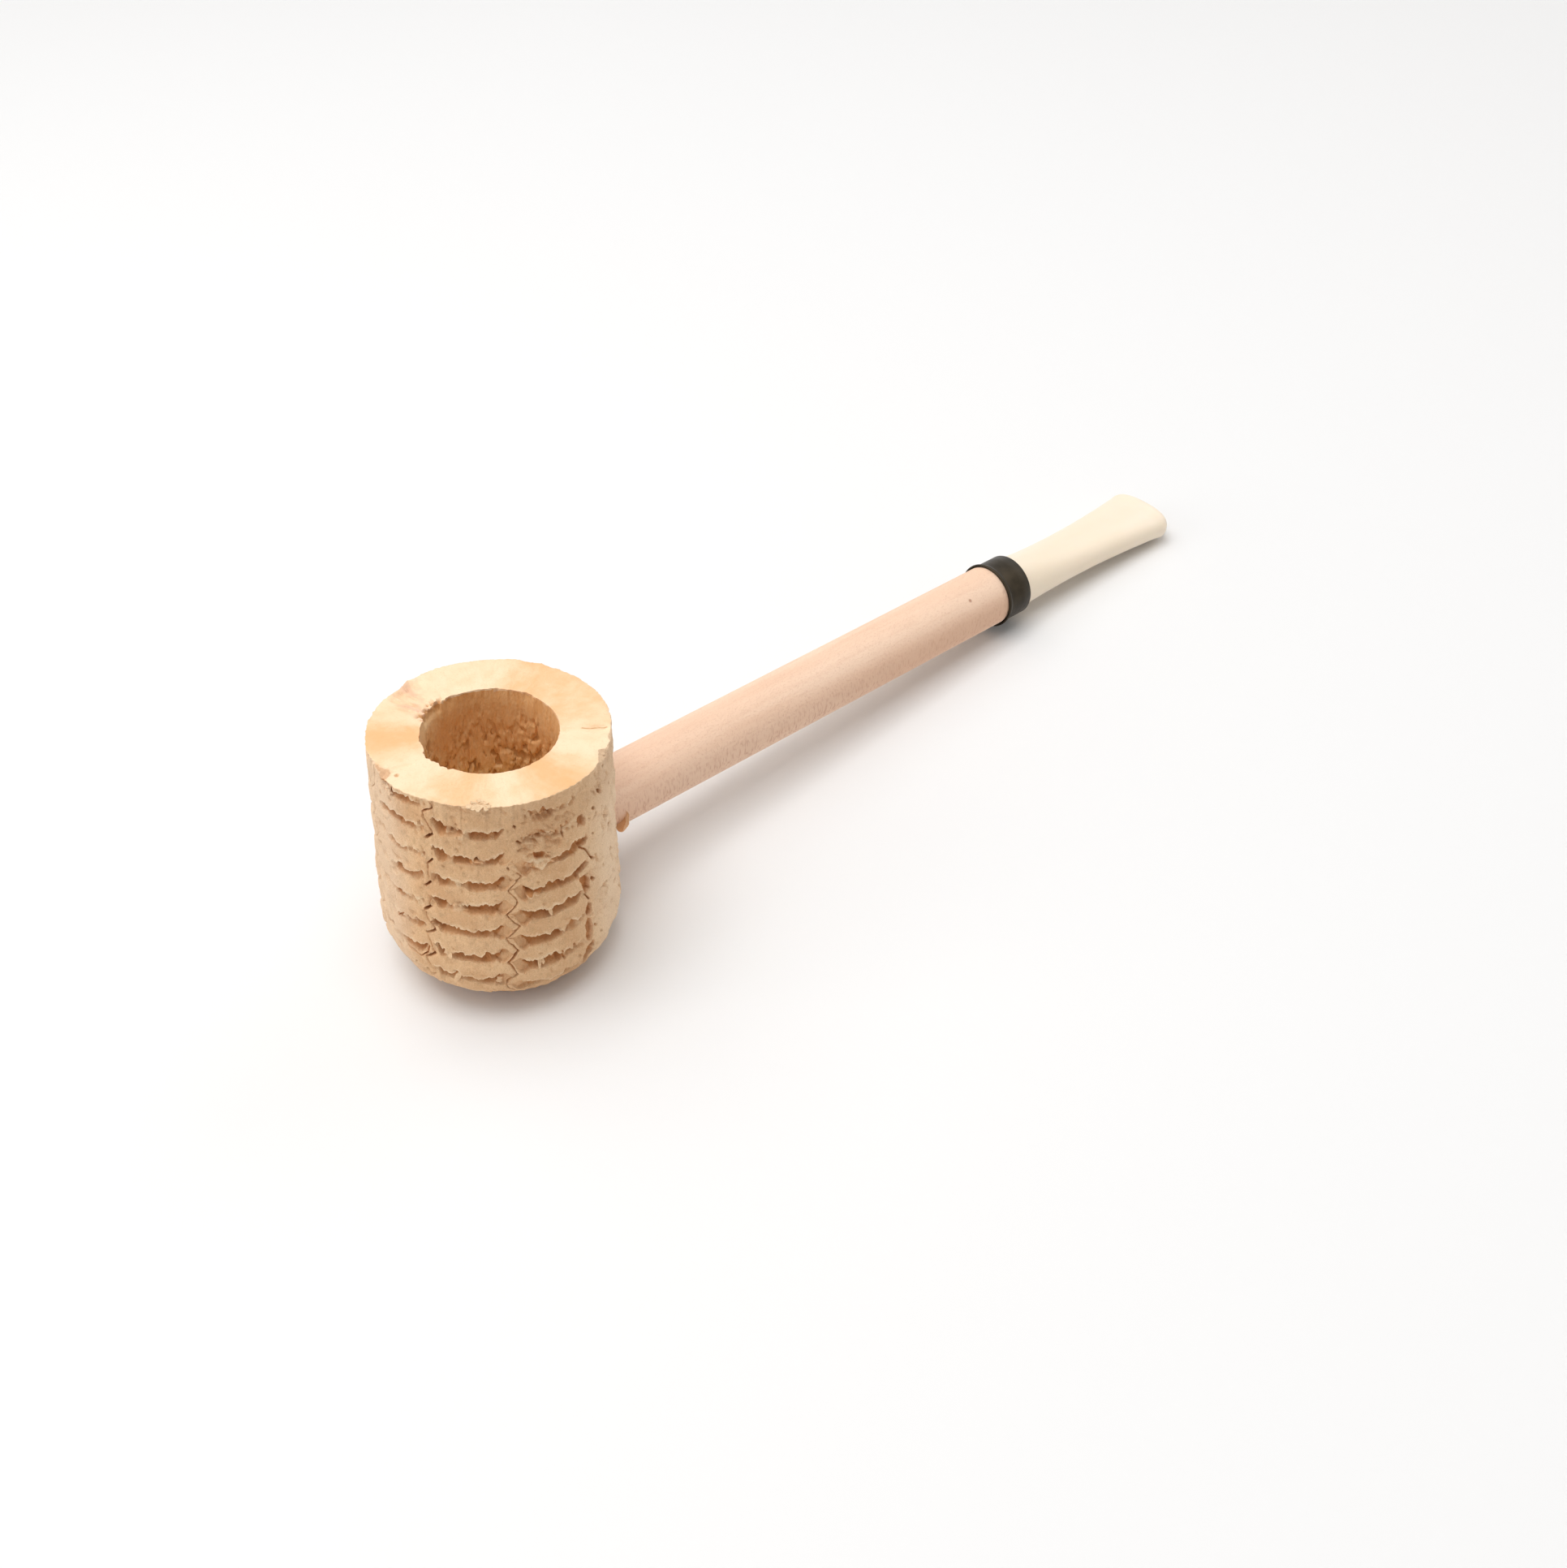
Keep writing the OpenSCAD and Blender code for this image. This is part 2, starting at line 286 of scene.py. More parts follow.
# %% Rings into a piece
def ring_faces(rows, count, closed):
    """Faces between rows of count points; closed joins the last row to the first."""
    k = np.arange(count)
    nxt = (k + 1) % count
    faces = []
    for i in range(rows if closed else rows - 1):
        a, b = i * count, (i + 1) % rows * count
        faces.append(np.stack((a + k, a + nxt, b + nxt, b + k), 1))
    return np.concatenate(faces)


def capped_faces(rows, count):
    """Faces of a stack of rings whose two ends are closed by flat caps."""
    last = (rows - 1) * count
    caps = [list(range(count))[::-1], list(range(last, last + count))]
    return ring_faces(rows, count, False).tolist() + caps


def new_mesh(name, points, faces, pressed=False):
    """A mesh from points on the upright pipe and lists of corners; pressed flattens it on the floor."""
    room = to_room(points)
    if pressed:
        room[:, 2] = np.maximum(room[:, 2], 0)
    mesh = bpy.data.meshes.new(name)
    mesh.from_pydata(room.tolist(), [], [list(map(int, f)) for f in faces])
    mesh.validate()
    return mesh


def shank_ring(turn, x, r):
    """Points at x along the shank, at a radius r from its axis."""
    return np.stack((x + 0 * turn, r * np.cos(turn), SHANK_H + r * np.sin(turn)), 1)


def full_turn(count):
    return np.linspace(0, 2 * np.pi, count, endpoint=False)


def turned(name, outline, count=144):
    """A closed outline of places (along the shank, radius), turned about the shank's axis."""
    turn = full_turn(count)
    rows = [shank_ring(turn, x(turn, r) if callable(x) else x, r) for x, r in outline]
    return new_mesh(name, np.concatenate(rows), ring_faces(len(rows), count, True)[:, ::-1])


# %% [markdown]
# ## Pieces on their bodies
# The solids ride on three bodies: the pipe, and the filter and the mouthpiece, which can be drawn out.
# Each mesh rides on its body, gets the slot of its material and takes the place of a solid. Smooth
# shading, with edges kept sharp above an angle, makes rings look round and rims look crisp.


# %% Pieces on their bodies
def put(name, data):
    """A new object in the scene."""
    made = bpy.data.objects.new(name, data)
    bpy.context.scene.collection.objects.link(made)
    return made


def add_piece(mesh, finishes, body, node=None, sharp=40):
    """Puts a mesh in the scene on its body, in place of the node it stands for."""
    piece = put(mesh.name, mesh)
    for finish in finishes:
        mesh.materials.append(finish.material)
    mesh.polygons.foreach_set("use_smooth", np.ones(len(mesh.polygons), bool))
    mesh.set_sharp_from_angle(angle=math.radians(sharp))
    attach(piece, body)
    if node:
        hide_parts(node)
    print(piece.name, "faces:", len(mesh.polygons))


def keep_on_points(mesh, **values):
    """Keeps a value for each point, for the finish to read."""
    for name, value in values.items():
        mesh.attributes.new(name, "FLOAT", "POINT").data.foreach_set("value", value.astype(np.float32))


# %% [markdown]
# ## The cob's cells
# A cob carries its kernels in upright columns of small cups. Sanded down to a bowl, each cup leaves a
# chaff plate with a ragged lower edge, and under it a dark slot that runs in below the plate.
# Neighbouring columns are shifted by half a cell, so the seams between them zigzag, with small pits
# where three plates meet. The depth of all this is one function of the turn around the bowl and the
# climb up its side, so the mesh can have as many points as it needs. The lists here say where a real
# cob departs from the rule.

# %% Layout of the cells
COLUMNS, PITCH = 9, 4.28  # columns around the bowl, mm from slot to slot
COLUMN_TURN = 360 / COLUMNS
DEGREE = math.radians(MEAN_R)  # mm around the bowl in one degree
COLUMN_W = COLUMN_TURN * DEGREE
FIRST_GAP = 3.0  # height of the first slot
SEAM_TURN, SEAM_LEVEL, SEAM_LEAN = 1.5, 22.0, 0.19  # first seam: its turn at a height, degrees per mm
SWING = 0.75  # mm that a seam zigzags to each side
MIDDLE_SEAM, CLOSED_SEAM = 6, 5  # the one in the middle of the picture, and one that never gapes
# One value for each column or for the seam on its left.
SEAM_SKEW = np.array((0.6, 0.7, 0.5, 0.66, 0.58, 0.72, 0.54, 0.66, 0.5))
SEAM_PHASE = np.array((0.0, 0.6, 0.1, 0.65, 0.5, 0.0, 0.69, 0.1, 0.6))
SEAM_OPEN = np.array((0.2, 0.1, 0.25, 0.12, 0.05, 0.16, 0.05, 0.02, 0.16))
SEAM_SWING = np.array((1, 0.8, 1, 0.7, 1, 0.85, 1, 0.4, 0.8))
SEAM_SHOWN = np.array((1, 0.8, 1, 0.8, 0.25, 0.6, 0.9, 0.12, 0.6))
FACET = np.array((0.7, 0.9, 0.6, 0.9, 0.3, 0.1, 1.0, 0.3, 0.6))
ROW_SHIFT = np.array((0, 0, 0, 0, 0.35, 0, 0, 0, 0))
TILT = np.array((0.4, -0.3, 0.6, 0.2, 0.0, 0.1, 0.3, 0.0, -0.2))
# How open each slot is, in ninths, at ten places from the left seam to the right; lowest slot first.
OPEN = {
    4: ("1112222231", "1122345573", "1112542262", "1131594221", "1143297441",
        "1233564211", "1267676521", "1248888521", "1122222211"),
    5: ("2896445541", "2736999893", "4854456572", "4831389882", "3842396562",
        "5837944582", "6921297592", "1121122111", "1111111111"),
    6: ("1343343221", "3999983332", "3899853343", "3899899984", "6934569987",
        "1112239972", "1111131111", "1113321221", "1111111111"),
    7: ("1111111111",) * 9,
}


def slot_row(column, row):
    """Ten numbers for one slot; the hidden columns borrow theirs from the two in front."""
    digits = OPEN[column][row] if column in OPEN else OPEN[5 + (column + row) % 2][(3 * row + column) % 7]
    return [int(d) / 9 for d in digits]


SLOTS = np.array([[slot_row(column, row) for row in range(9)] for column in range(COLUMNS)])
print("slots on a column:", SLOTS.shape[1], "open share:", round(SLOTS.mean(), 2))

# %% [markdown]
# ## Marks of this one cob
# The cob in the picture has torn patches, pits and cracks of its own. Those that show from a step away
# are listed by where they lie and how large they are. Everything smaller is left to noise.

# %% Marks listed one by one
# Pits and pockets: turn, height, half width and half height in mm, lean.
PITS = [
    (287.5, 30.1, 0.35, 0.4, 0.5), (286, 26.2, 0.4, 0.45, 0.5), (285, 22.1, 0.35, 0.45, 0.6),
    (285, 18.3, 0.4, 0.45, 0.5), (284.5, 10.2, 0.4, 0.6, 0.6), (294, 31.7, 0.3, 0.6, 0.5),
    (308, 27.6, 0.5, 0.5, 0.5), (304.5, 23.7, 0.45, 0.5, 0.5), (303.5, 19.6, 0.45, 0.5, 0.5),
    (316, 15.0, 0.5, 0.5, 0.5), (245.4, 30.2, 0.35, 0.5, 0.6), (264, 29.9, 0.5, 0.4, 0.0),
    (240, 26.0, 0.15, 0.4, 0.3), (243.8, 32.9, 0.2, 0.5, 0.4), (255.4, 27.3, 0.9, 0.75, 0.2),
    (168, 23.2, 0.35, 0.4, 0.5), (174, 18.6, 0.4, 0.5, 0.2), (174, 10.4, 0.5, 0.4, -0.4),
    (40, 20, 0.5, 0.5, 0.3), (118, 28, 0.5, 0.5, 0.3),
]
POCKETS = [
    (278.8, 29.5, 0.9, 1.05, 0.4), (279.0, 25.9, 0.85, 0.75, -0.3), (277.8, 21.7, 1.15, 1.15, -0.5),
    (279.2, 18.5, 0.95, 1.9, 0.25), (280.0, 14.0, 0.75, 1.15, 0.1), (280.0, 10.2, 0.85, 2.1, 0.0),
    (280.2, 6.0, 0.9, 2.0, -0.2), (203.5, 15.2, 0.5, 0.5, 0.3),
]
# Torn patches: turn, height, half width and half height in mm, strength.
TORN = [
    (255.5, 30.4, 2.8, 1.3, 0.75), (255.0, 27.0, 2.0, 1.2, 0.6), (262, 28.0, 1.5, 0.8, 0.5),
    (248, 28.9, 1.6, 0.8, 0.6), (268, 31.8, 2.2, 0.9, 0.5), (258, 33.3, 2.2, 0.6, 0.7),
    (292, 33.0, 1.2, 1.6, 0.5), (297, 26.0, 1.2, 1.8, 0.5), (293, 14.0, 1.2, 1.8, 0.5),
    (217, 32.3, 1.3, 0.8, 0.6), (216, 19.4, 1.3, 0.7, 0.6), (180, 35.6, 2.0, 0.8, 0.7),
    (96, 24.0, 2.4, 2.0, 0.7), (30, 29.5, 2.2, 1.6, 0.7), (140, 9.0, 2.6, 1.6, 0.7),
    (64, 12.5, 2.0, 1.8, 0.7),
]
# Heaps of crumbs: turn, height, half width and half height in mm.
HEAPS = [(255.8, 25.7, 1.9, 0.75), (251.8, 20.9, 1.2, 0.45), (218.5, 31.2, 0.9, 0.5), (225.5, 27.4, 1.3, 0.4)]
# Cracks: lines of turns and heights.
CRACKS = [
    ((276.5, 25.4), (280.6, 24.4), (284.4, 22.0)), ((278.2, 17.0), (282.0, 15.2)),
    ((179.5, 12.9), (184.5, 14.3)), ((185.5, 8.5), (194, 8.1), (198, 9.2), (199, 10.6)),
    ((263.2, 9.6), (264.6, 7.7)), ((266.5, 31.0), (267.5, 28.6)),
    ((130, 20), (134, 17)), ((60, 27), (66, 25)),
]
print("marks:", sum(map(len, (PITS, POCKETS, TORN, HEAPS, CRACKS))))

# %% [markdown]
# ## Where a point lies in the pattern
# Each point first finds its column between two zigzag seams and its nearest slot. Everything else is
# measured from there. The cob is worn smooth towards the shank, on the far left and under the rim.


# %% Seams, wear and distances
def apart_by(turn, at):
    """Degrees between two turns, the short way round."""
    return np.abs(np.mod(turn - at + 180, 360) - 180)


SMOOTH_RIGHT, SMOOTH_LEFT, ROUGH_TOP = 311, 147, 183  # turns of two sanded sides and of a rough upper end


def wear(turn, climb):
    """How open the cells are: 1 where they are whole, towards 0 where they are sanded smooth."""
    whole = 1 - 0.66 * ease(46, 24, apart_by(turn, SMOOTH_RIGHT))
    whole = whole * (1 - 0.65 * ease(50, 16, apart_by(turn, SMOOTH_LEFT)))
    return whole * (1 - 0.4 * ease(33.5, 36, climb) * ease(10, 25, apart_by(turn, ROUGH_TOP)))


def blot(turn, climb, at, height, half_w, half_h, lean=0):
    """Distance from a spot on the bowl, 1 at its border."""
    aside, up = (np.mod(turn - at + 180, 360) - 180) * DEGREE, climb - height
    return np.hypot((aside + lean * up) / half_w, up / half_h)


def to_line(turn, climb, line):
    """Distance in mm from a line of points on the bowl."""
    best = np.full(np.shape(turn), 99.0)
    for (a, low), (b, high) in zip(line, line[1:]):
        x, y, dx, dy = (turn - a) * DEGREE, climb - low, (b - a) * DEGREE, high - low
        t = np.clip((x * dx + y * dy) / (dx * dx + dy * dy), 0, 1)
        best = np.minimum(best, np.hypot(x - t * dx, y - t * dy))
    return best


def nth(column):
    """Columns count on around the bowl, so the tenth is the first again."""
    return np.mod(column, COLUMNS).astype(int)


def row_at(column, climb):
    """Rows up a column, where each whole number is a slot."""
    which = nth(column)
    return (climb - FIRST_GAP) / PITCH - which * 5 % COLUMNS / COLUMNS - ROW_SHIFT[which]


def seam(column, climb):
    """The left seam of a column: its shift aside in mm, its slope factor, and its steep part."""
    which = nth(column)
    down, skew = np.mod(0.5 - row_at(column, climb) + SEAM_PHASE[which], 1), SEAM_SKEW[which]
    swing = SWING * SEAM_SWING[which] * (0.75 + 0.5 * bumps(climb / 5, 7.0 * column, 26))
    shift = swing * (2 * np.minimum(down / skew, (1 - down) / (1 - skew)) - 1)
    shift = shift + 0.5 * (bumps(climb / 1.3, 5.0 * column, 27) - 0.5)
    shift = shift + 0.2 * (bumps(climb / 0.5, 5.0 * column, 47) - 0.5)
    run = np.where(down < skew, skew, 1 - skew) * PITCH
    steep = ease(skew - 0.03, skew + 0.03, down) * ease(1.0, 0.95, down)
    return shift, 1 / np.hypot(1, 2 * SWING / run), steep


def slot_open(column, row, share):
    """How open a slot is at a share of its column's width."""
    at = np.clip(10 * share - 0.5, 0, 8.999)
    first = at.astype(int)
    line = SLOTS[nth(column), np.clip(row, 0, 8).astype(int)]
    low, high = (np.take_along_axis(line, k[..., None], -1)[..., 0] for k in (first, first + 1))
    return low + (high - low) * ease(0.15, 0.85, at - first)


middle = [np.array([v]) for v in (5.0, 1.0, 0.5)]
print("open in the middle of one slot:", round(float(slot_open(*middle)[0]), 2))


# %% Places in a cell
class Cell:
    """Where points lie in their cells; all lengths in mm."""

    def __init__(self, turn, climb):
        sway = 1.6 * (around(turn, climb, 9, 11) - 0.5)
        a = (turn - SEAM_TURN - SEAM_LEAN * (climb - SEAM_LEVEL) + sway) / COLUMN_TURN
        column = np.floor(a)
        x = (a - column) * COLUMN_W
        step = (x > COLUMN_W + seam(column + 1, climb)[0]).astype(float) - (x < seam(column, climb)[0])
        column, x = column + step, x - step * COLUMN_W
        left, left_slope, left_steep = seam(column, climb)
        right, right_slope, right_steep = seam(column + 1, climb)
        to_left, to_right = (x - left) * left_slope, (COLUMN_W + right - x) * right_slope
        rows_up = row_at(column, climb)
        self.turn, self.climb, self.column, self.x = turn, climb, column, x
        self.row = np.round(rows_up)
        self.key = np.mod(column, COLUMNS) * 31 + self.row  # one number for each cell
        self.worn = wear(turn, climb)
        self.nearer = (to_right < to_left).astype(int)  # 1 for the right seam
        self.seam = nth(column + self.nearer)
        self.to_seam = np.minimum(to_left, to_right)
        self.steep = np.where(self.nearer, right_steep, left_steep)
        self.end = np.minimum(x, COLUMN_W - x)
        self.share = np.clip(x / COLUMN_W, 0, 1)
        self.bow = (2 * self.share - 1) ** 2  # 0 in the middle of the column, 1 at its ends
        self.above = (rows_up - self.row) * PITCH - TILT[nth(column)] * (0.5 - self.share) - 0.2 * self.bow

    def grain(self, size, seed, tall=1.0):
        """Bumps over the whole bowl."""
        return around(self.turn, self.climb, size, seed, tall)

    def along(self, size, line, seed):
        """Bumps along a slot, with their own for each slot."""
        return bumps(self.x / size, self.key * line, seed)


ring = Cell(np.linspace(0, 359, 360), np.full(360, 18.0))
print("columns met on one ring:", len(set(nth(ring.column))))

# %% [markdown]
# ## Slots, cracks and the skin of the plates
# A slot starts at a lip, runs in and upwards, and ends under the ragged edge of the plate above. Where
# it is closed, crumbs fill it, and at a seam it runs out in a smooth facet. The seams are fine cracks,
# wider where they run steeply or where a column has shrunk away. Tears, pits, heaps of crumbs, dents
# and pores come last. Depth alone makes the shape; darkness and paleness go to the finish.

# %% Slots under the plates
SLOT_DEPTH, LIP_STEP = 1.7, 0.16


def slots(c):
    """Depth of the slots, slope of the plates, brown of the slots with painted shade, painted shade of crumbs
    and facets, paleness with painted highlights.
    """
    past_end = c.end - 0.15 - 0.85 * FACET[c.seam] - 0.3 * dice(c.key, c.nearer, 3)
    inside, taper = ease(0.0, 0.4, past_end), np.clip(past_end / 1.3, 0, 1) ** 0.8
    scoop = ease(0.15, 0.8, slot_open(c.column, c.row, c.share) + 0.3 * (c.along(1.1, 3.0, 5) - 0.5)) * c.worn
    teeth = 0.5 * c.along(1.0, 7.0, 7) + 0.5 * c.along(0.5, 5.0, 8) + 0.35 * c.along(0.27, 6.0, 40) - 0.68
    drift = c.along(2.6, 11.0, 28) - 0.5
    ragged = (0.4 + 1.2 * c.along(2.2, 13.0, 38)) * np.minimum(c.worn + 0.2, 1)
    edge = 0.4 * scoop + 0.75 * c.bow + 1.1 * teeth * ragged + 0.5 * drift
    lip = -(0.75 + 0.35 * scoop) + 0.2 * (c.along(2.5, 9.0, 9) - 0.5) + 0.3 * drift
    lip = edge - (edge - lip) * taper
    rise = np.clip((c.above - lip) / np.maximum(edge - lip, 0.05), 0, 1)
    under = ease(edge + 0.05, edge - 0.05, c.above) * inside
    depth = (LIP_STEP * (rise > 0) * np.clip(3 * scoop, 0, 1) + SLOT_DEPTH * scoop * rise**0.8) * under
    # Brown of unsanded chaff in the slots, plus painted shade: it darkens from the lip in towards the plate's
    # edge.
    brown = np.clip(1.8 * scoop, 0, 1) * under * np.clip(0.42 * (rise > 0) + 0.8 * rise, 0, 1)

    crumbs = ease(0.34, 0.58, 0.6 * c.grain(0.7, 22) + 0.4 * c.grain(0.4, 23))
    closed = np.clip(1 - 1.7 * scoop, 0, 1) * inside * c.worn
    closed = closed * ease(-1.1, -0.6, c.above - 0.5 * drift) * ease(edge + 0.6, edge + 0.1, c.above)
    beads = np.exp(-(((c.above - edge - 0.2) / 0.3) ** 2)) * inside * c.worn
    beads = beads * ease(0.3, 0.55, c.along(1.7, 4.0, 46))
    depth = depth + (closed * (0.12 + 0.35 * (1 - crumbs)) + beads * (0.35 * (1 - crumbs) - 0.22))
    shingle = (0.5 * np.clip(np.mod(c.above - edge, PITCH) / 3.2, 0, 1) - 0.28) * c.worn * inside

    tall = (0.1 + 1.15 * np.clip(c.end, 0, 1)) * np.clip((2.9 - c.end) / 1.2, 0, 1)
    slant = np.abs(c.above - np.where(c.nearer, 0.2, 0.5 - 0.6 * np.clip(c.end, 0, 1.6)))
    facet = ease(tall + 0.06, tall - 0.06, slant) * (0.2 + 0.28 * np.clip(c.end, 0, 1.6)) * c.worn
    facet = facet * (FACET[c.seam] > 0.5) * np.where(c.seam == MIDDLE_SEAM, ease(29, 25, c.climb), 1)
    # Painted shade: darker in the gaps between crumbs and on the sunken facets.
    painted_shade = 0.35 * closed * (1 - crumbs) + np.clip(2 * facet, 0, 0.32) * np.clip(1.6 * c.worn - 0.6, 0, 1)
    # Paler torn fibres along each plate's lower edge, with a painted highlight where the edge catches light.
    pale_edge_and_highlight = np.exp(-(((c.above - edge - 0.1) / 0.17) ** 2)) * inside * np.clip(2 * scoop, 0, 1)
    # Raised beads and crumbs are paler: partly fresh torn fibres, partly a painted highlight on their tops.
    pale = beads * crumbs + 0.5 * closed * crumbs + 0.9 * pale_edge_and_highlight
    return np.maximum(depth, facet), shingle, brown, painted_shade, pale


print("deepest slot on that ring in mm:", round(slots(ring)[0].max(), 2))


# %% Cracks along the seams
def cracks(c):
    """Depth of the seams and of the listed cracks."""
    opening, in_middle = SEAM_OPEN[c.seam], c.seam == MIDDLE_SEAM
    gape = ease(0.45, 0.75, bumps(c.climb / 2.3 + 9 * c.column + 9 * c.nearer, np.zeros_like(c.climb), 24))
    gape = gape * opening * (c.seam != CLOSED_SEAM)
    wide = 0.02 + 0.08 * c.grain(2.4, 12)
    wide = wide + 0.12 * c.steep * (dice(c.key, c.nearer + 6, 15) > 0.3) * c.worn * opening / 0.16
    wide = wide + gape * np.clip(c.worn + 0.2, 0, 1)
    below_top = np.where(in_middle, ease(26.5, 23.5, c.climb), 1.0)
    shown = ease(0.3, 0.6, c.grain(3.1, 13)) * SEAM_SHOWN[c.seam]
    shown = np.maximum(shown, 0.8 * in_middle) * below_top
    gaping = 1.1 * c.steep * c.worn * opening / 0.16 + 2.2 * gape
    most = (0.6 - 0.2 * in_middle) * shown + gaping * below_top
    depth = ease(wide + 0.05, 0.5 * wide, c.to_seam) * np.clip(most, 0, 1.5)
    wander = 0.1 * (c.grain(0.6, 48) - 0.5)
    for line in CRACKS:
        depth = np.maximum(depth, 0.55 * ease(0.15, 0.05, to_line(c.turn, c.climb, line) + wander))
    return depth


print("deepest crack on that ring in mm:", round(cracks(ring).max(), 2))


# %% Depth of the chaff
def chaff(turn, climb):
    """Depth in mm below the sanded outside, darkness of the hollows with painted shade, and paleness of torn
    edges with painted highlights.
    """
    c = Cell(turn, climb)
    depth, shingle, brown, painted_shade, pale = slots(c)
    crack = cracks(c)
    depth = np.maximum(depth, crack) + 0.1 * np.exp(-c.to_seam / 0.25) + shingle
    ragged = 0.8 * (c.grain(0.9, 16) - 0.5) + 0.4 * (c.grain(0.4, 49) - 0.5)
    torn, pit, pocket = (np.zeros_like(depth) for _ in range(3))
    for *spot, strength in TORN:
        torn = np.maximum(torn, strength * ease(1.1, 0.6, blot(turn, climb, *spot) + ragged))
    for spot in PITS:
        pit = np.maximum(pit, 0.9 * ease(1.0, 0.4, blot(turn, climb, *spot) + ragged))
    for spot in POCKETS:
        pocket = np.maximum(pocket, ease(1.0, 0.82, blot(turn, climb, *spot) + 0.8 * ragged))
    lumps = 0.6 * ease(0.4, 0.65, c.grain(0.8, 17)) + 0.4 * ease(0.4, 0.7, c.grain(0.42, 39))
    depth = depth + torn * (0.1 + 0.5 * c.grain(1.8, 18) + 0.8 * lumps)
    depth = np.maximum(np.maximum(depth, pit), 0.85 * pocket)
    grains = 0.5 * c.grain(0.55, 58) + 0.5 * c.grain(0.3, 59)
    for spot in HEAPS:
        heap = ease(1.05, 0.75, blot(turn, climb, *spot) + 0.7 * ragged)
        depth = depth * (1 - heap) + heap * (0.9 * (0.45 - grains))
        # Raised grains of a heap are paler: partly fresh crumbs, partly a painted highlight on their tops.
        pale = np.maximum(pale, heap * ease(0.4, 0.6, grains))
        torn = torn * (1 - heap)
    dents = ease(0.52, 0.7, c.grain(1.5, 60, 1.7)) * (1 - c.worn)
    pores = ease(0.82, 0.95, c.grain(0.8, 19, 1.3)) * (0.45 - 0.25 * c.worn)
    skin = 0.3 * (c.grain(2.2, 25) - 0.5) + 0.22 * (c.grain(0.9, 20) - 0.5)
    skin = skin * (0.35 + 0.65 * c.worn) * (1 - 0.5 * ease(5, 0, climb))
    # Brown of slots and pockets is the chaff's own colour; darkening in pits, pores, dents and torn lumps is
    # painted shade.
    dark = np.maximum(np.maximum(brown, 0.6 * pocket), np.maximum(crack / 0.8, pit))
    dark = dark + 0.4 * torn * lumps + painted_shade + pores + 0.25 * dents
    pale = np.maximum(pale, 0.7 * (1 - c.worn))
    depth = np.maximum(depth + 0.35 * dents + pores + skin - 0.08, -0.35)
    return depth, np.clip(dark, 0, 1), np.clip(pale, 0, 1)


sample = chaff(np.linspace(0, 359, 2000), np.full(2000, 18.0))[0]
print("chaff depth in mm, mean and most:", round(sample.mean(), 2), round(sample.max(), 2))

# %% [markdown]
# ## Rim and chamber
# The rim is sanded flat, but the soft chaff at its edge breaks away in chips, a fibrous band crosses
# it at the back left, and the edge of the bore is torn in places. Inside, the bore shows the pith:
# upright fibres, and further down flakes with small hollows between them.

# %% Chips and tears of the rim
# The rim's outer edge, at places listed from the photograph: turn in degrees, radius in mm.
RIM_LINE = [
    (3, 16.4), (7, 16.45), (12, 16.3), (22, 16.2), (25, 16.3), (28, 16.45), (33, 16.1), (37, 16.15),
    (41, 16.5), (47, 16.2), (63, 16.0), (79, 16.25), (94, 16.05), (97, 16.3), (99.5, 16.15), (101, 15.85),
    (106, 15.7), (115, 16.1), (135, 16.3), (157, 16.35), (165, 16.0), (170.3, 15.95), (172, 15.5),
    (174.4, 15.15), (177, 15.3), (178.3, 15.7), (179.5, 16.5), (187, 16.6), (191, 16.45), (198, 16.35),
    (205, 16.1), (212, 16.15), (223, 15.95), (226, 15.7), (230, 15.65), (232, 16.15), (247, 16.2),
    (260, 16.25), (281, 16.3), (290, 16.3), (295, 16.05), (298, 15.6), (301, 15.45), (303, 15.1),
    (304.5, 15.25), (305.5, 15.95), (312, 16.15), (315, 15.75), (317.5, 15.8), (319, 16.0), (327, 16.2),
    (345, 16.45), (353, 16.5),
]
# The bore's upper edge: turn and half width of each tear in degrees, its depth in mm.
TEARS = [
    (178, 14, 0.75), (195, 9, 0.55), (152, 6, 0.3), (110, 18, 0.8), (88, 8, 0.3), (50, 6, 0.2), (20, 7, 0.25),
]
BAND_TURN, BAND_SLANT, BAND_R = 109.0, 1.6, 12.5  # a fibrous band: its turn at a radius, degrees per mm
NARROW_BAND, TORN_EDGE = 322, 110  # turns of a second band and of the most torn edge of the bore
HOLE_TURN, HOLE_R, HOLE_DEGREE = 180.3, 14.8, 0.26  # a small hole in the rim, and mm in one degree there
GROOVE = ((174.5, 14.5), (177.3, 12.1))  # turns and radii


def rim_edge(turn):
    """Radius of the sanded rim's outer edge, with its chips."""
    at, reach = zip(*RIM_LINE)
    still = np.zeros_like(turn)
    line = np.interp(turn, at, reach, period=360) + 0.16 * (bumps(turn / 1.5, still, 33, 240) - 0.5)
    return line + 0.1 * (bumps(turn / 0.75, still, 35, 480) - 0.5)


def fibrous(turn, r):
    """Where the rim is torn to fibres: a wide band at the back left, a narrow one at the right."""
    wide = ease(14, 6, apart_by(turn, BAND_TURN - BAND_SLANT * (r - BAND_R))) * (0.4 + 0.6 * ease(10, 15, r))
    return np.maximum(wide, 0.35 * ease(5, 2, apart_by(turn, NARROW_BAND)))


